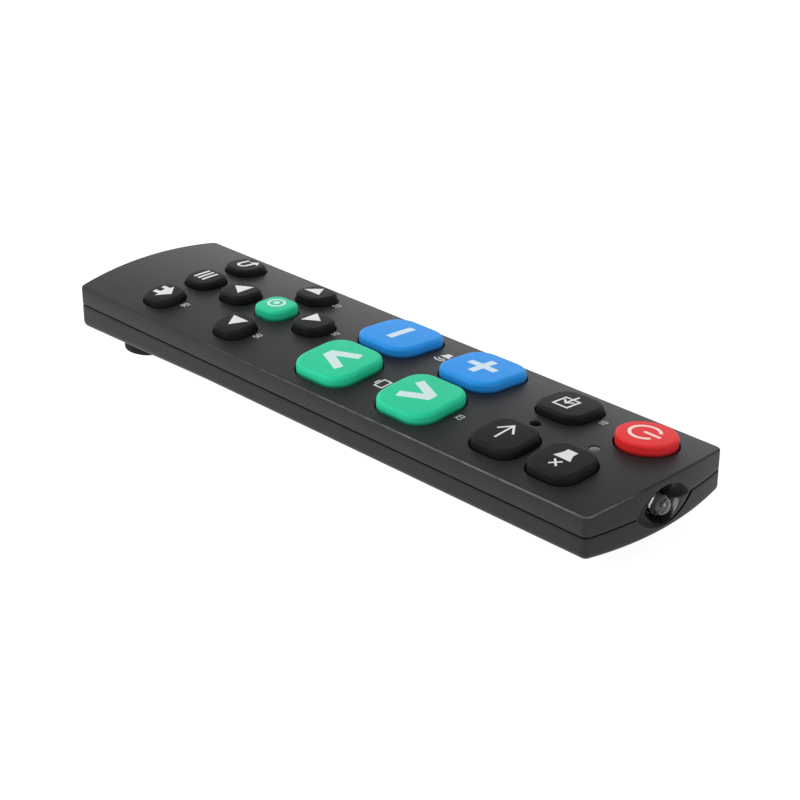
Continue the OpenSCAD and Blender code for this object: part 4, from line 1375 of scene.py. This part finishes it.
def cell_shape(node, way):
    """A cell: sleeve with a pale band, rolled ends, cap with a vent step."""
    low, high = box_mm(node)
    r = (high.x - low.x) / 2
    flat = low.y if way > 0 else high.y
    length = (high.y - low.y) - CAP_H
    top = length + CAP_H
    cx, cz = (low.x + high.x) / 2, (low.z + high.z) / 2
    base = [(r - 0.9, 0.12), (r - 0.55, 0.05)]
    sleeve = [(r - 0.55, 0.05), (r - 0.15, 0.0), (r, 0.18), (r, length * BAND_FROM)]
    pale = [(r, length * BAND_FROM), (r, length - 0.25), (r - 0.2, length - 0.02), (r - 0.9, length - 0.02)]
    cap = [
        (r - 0.9, length - 0.02), (r - 1.2, length - 0.15), (CAP_R + 0.15, length - 0.15), (CAP_R, length),
        (CAP_R, top - 0.2), (CAP_R - 0.2, top),
    ]
    turns = [2 * math.pi * k / CELL_N for k in range(CELL_N)]

    def ring(radius, h):
        return [(cx + radius * math.cos(t), flat + way * h, cz + radius * math.sin(t)) for t in turns]

    shape = Shape()
    first, _ = shape.rings([ring(*p) for p in base], 2)
    shape.fan(first, (cx, flat + way * base[0][1], cz), 2)
    shape.rings([ring(*p) for p in sleeve], 0)
    shape.rings([ring(*p) for p in pale], 1)
    _, last = shape.rings([ring(*p) for p in cap], 2)
    shape.fan(last, (cx, flat + way * top, cz), 2)
    return shape


def coil_spring(node, way):
    """A tapering coil of round wire from its plate to the cell's flat end."""
    low, high = box_mm(node)
    wire = 0.35
    cx, cz = (low.x + high.x) / 2, (low.z + high.z) / 2
    root = max(high.x - low.x, high.z - low.z) / 2 - wire
    tip = root - 1.3
    start = low.y + wire if way > 0 else high.y - wire
    run = (high.y - low.y - 2 * wire) * way
    curls, per_curl, sides = 3.5, 28, 10
    count = int(curls * per_curl)
    turns = [2 * math.pi * j / sides for j in range(sides)]
    up = Vector((0, 1, 0))
    rows = []
    for k in range(count + 1):
        share = k / count
        turn = 2 * math.pi * curls * share
        r = root + (tip - root) * share
        out = Vector((math.cos(turn), 0, math.sin(turn)))
        centre = Vector((cx + r * math.cos(turn), start + run * share, cz + r * math.sin(turn)))
        rows.append([centre + out * (wire * math.cos(t)) + up * (wire * math.sin(t)) for t in turns])
    return capped(rows)


# Making the pieces

def make_case():
    piece("upper_shell", top_case(), [CASE, DISH, EDGE_POLISH_AND_HIGHLIGHT, LAMP_PAINTED_LIGHT_GREY], "case", ["top_case"], 40)
    piece("lower_shell", bottom_case(), [CASE, SHADE, DRUM], "case", ["bottom_case"], 32)
    piece("sliding_cover", battery_cover(), [CASE], "battery_cover", ["battery_cover"], 25)
    piece("foot_pads", rubber_pads(), [FOOT_RUBBER], "case", ["rubber_feet"])
    piece("light_guide", guide_lens(), [GUIDE], "case", ["indicator_lens"], 50)


def make_keys():
    legends = legend_shapes()
    for name, (_, _, tone) in KEY_STYLES.items():
        body = "key_" + name
        piece(name + "_cap", key_shape(name), [RUBBERS[tone]], body, [body], 40)
        cx, cy, _, _, _ = key_place(name)
        piece(name + "_legend", print_on(legends[name], cx, cy, key_top(name)), [INKS[tone]], body)


def make_marks():
    """Printed marks on the top face; the numbers count the keys that they stand beside."""
    marks = {
        "mark_volume": (small_speaker(), INKS["black"], -11.2, 12.6),
        "mark_channel": (small_screen(), INKS["black"], 9.7, 12.8),
    }
    for k, (x, y) in enumerate(NUMBER_PLACES, 1):
        marks[f"mark_{k}"] = (number(f"0{k}", MARK_H), FAINT_INK, x, y)
    for name, (shapes, ink, x, y) in marks.items():
        piece(name, print_on(shapes, x, y, top_z), [ink], "case")


def make_lamp():
    piece("lamp_dome", lamp_body(), [EPOXY], "case", ["ir_led"], 40)
    piece("lamp_cup", lamp_cup(), [CUP, CHIP], "case", (), 30)
    piece("lamp_shade", lamp_shade(), [LAMP_PAINTED_LIGHT_GREY], "case")


def make_power():
    """The two cells, which lie opposite ways, and the springs at their flat ends."""
    skins = [SLEEVE, PALE_BAND, STEEL]
    for side, way in (("left", 1), ("right", -1)):
        node = "battery_" + side
        piece("cell_" + side, cell_shape(node, way), skins, "case", [node], 40)
    for end, way in (("bridge", -1), ("minus", 1)):
        node = end + "_spring"
        piece("coil_" + end, coil_spring(node, way), [STEEL], "case", [node], 60)


def dress_cad_nodes():
    """Gives each CAD piece that stays in view its material."""
    finishes = {
        "keypad_mat": RUBBERS["black"], "circuit_board": BOARD, "contact_pads": COPPER, "case_screws": STEEL,
        "ir_led_legs": STEEL, "indicator_led": LAMP_BODY, "controller_chip": CHIP, "controller_legs": STEEL,
        "resonator": CERAMIC, "can_capacitor": CAN_SLEEVE, "driver_transistor": CHIP, "chip_resistors": CHIP,
        "chip_capacitors": CERAMIC, "bridge_plate": STEEL, "plus_plate": STEEL, "minus_plate": STEEL,
        **{"pill_" + name: CARBON for name in KEY_STYLES},
    }
    for node, finish in finishes.items():
        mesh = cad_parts[node].data
        mesh.materials.clear()
        mesh.materials.append(finish)


# The stage: camera, floor and lights

CAMERA_AT = (299.282, 312.467, 203.424)
CAMERA_FORWARD = (-0.63215, -0.64113, -0.43514)
CAMERA_ROLL = 0.136
FOCAL_PX = 1966.27
IMAGE_PX = 800
SENSOR_MM = 36.0
FLOOR_REACH = 6.0


def make_camera():
    data = bpy.data.cameras.new("camera")
    data.sensor_width = SENSOR_MM
    data.lens = FOCAL_PX / IMAGE_PX * SENSOR_MM
    data.clip_start = 0.01
    data.clip_end = 20
    camera = placed("camera", data)
    turn = Vector(CAMERA_FORWARD).to_track_quat("-Z", "Y").to_matrix().to_4x4()
    roll = Matrix.Rotation(math.radians(CAMERA_ROLL), 4, "Z")
    camera.matrix_world = Matrix.Translation(ORIGIN + Vector(CAMERA_AT) * MM) @ turn @ roll
    bpy.context.scene.camera = camera


def area_light(name, place, target, size, watts):
    """A rectangular light that faces a target; places and sizes in metres."""
    data = bpy.data.lights.new(name, "AREA")
    data.shape = "RECTANGLE"
    data.size, data.size_y = size
    data.energy = watts
    light = placed(name, data)
    light.location = Vector(place)
    light.rotation_mode = "QUATERNION"
    light.rotation_quaternion = (Vector(target) - Vector(place)).to_track_quat("-Z", "Y")
    return light


def floor_material():
    """A white floor that glows a little more beside the case's near side."""
    r = recipe("pale_floor")
    r.set(
        Base_Color=r.ramp(r.noise(0.002, 2.0), (0.24, 0.24, 0.24), (0.26, 0.26, 0.26)), Roughness=0.9,
        Specular_IOR_Level=0.0, Emission_Color=(1, 1, 1, 1),
        Emission_Strength=r.spread(r.stretch("X", 10, 28), 0.92, 1.32, 0.0, 1.0),
    )
    return r.owner


# The world's brightness by height above the horizon: the sine of the angle, and the strength
SKY = [(0.0, 0.8), (0.2, 0.85), (0.34, 1.25), (0.48, 1.1), (0.62, 0.45), (1.0, 0.1)]


def make_world():
    """A pale room, brightest low down, so flat tops shine at a shallow look and stay dark from above."""
    r = Recipe(bpy.data.worlds.new("world"), "Background", "Generated")
    r.set(Color=r.stops(r.axis("Z"), *((height, (level, level, level)) for height, level in SKY)))
    bpy.context.scene.world = r.owner


def make_stage():
    mesh = bpy.data.meshes.new("floor")
    signs = ((-1, -1), (1, -1), (1, 1), (-1, 1))
    mesh.from_pydata([(sx * FLOOR_REACH, sy * FLOOR_REACH, 0) for sx, sy in signs], [], [(0, 1, 2, 3)])
    mesh.materials.append(floor_material())
    placed("floor", mesh)
    make_world()
    bpy.context.scene.view_settings.view_transform = "Standard"
    bpy.context.scene.view_settings.look = "None"
    middle = (0, 0, 0.01)
    area_light("top_box", (0.0, 0.0, 1.2), middle, (1.6, 1.6), 6.0)
    area_light("back_wall", (-0.6, -1.08, 0.24), (0, 0, 0.24), (2.2, 0.48), 4.0)
    area_light("edge_box", (0.39, -0.58, 0.57), middle, (0.5, 0.4), 3.1)
    glint = area_light("glint_box", (-0.03, 0.68, 0.15), (0, NOSE_Y * MM, 0.01), (0.3, 0.24), 1.2)
    glint.visible_diffuse = False


make_camera()
make_case()
make_keys()
make_marks()
make_lamp()
make_power()
dress_cad_nodes()
make_stage()

bpy.context.view_layer.update()
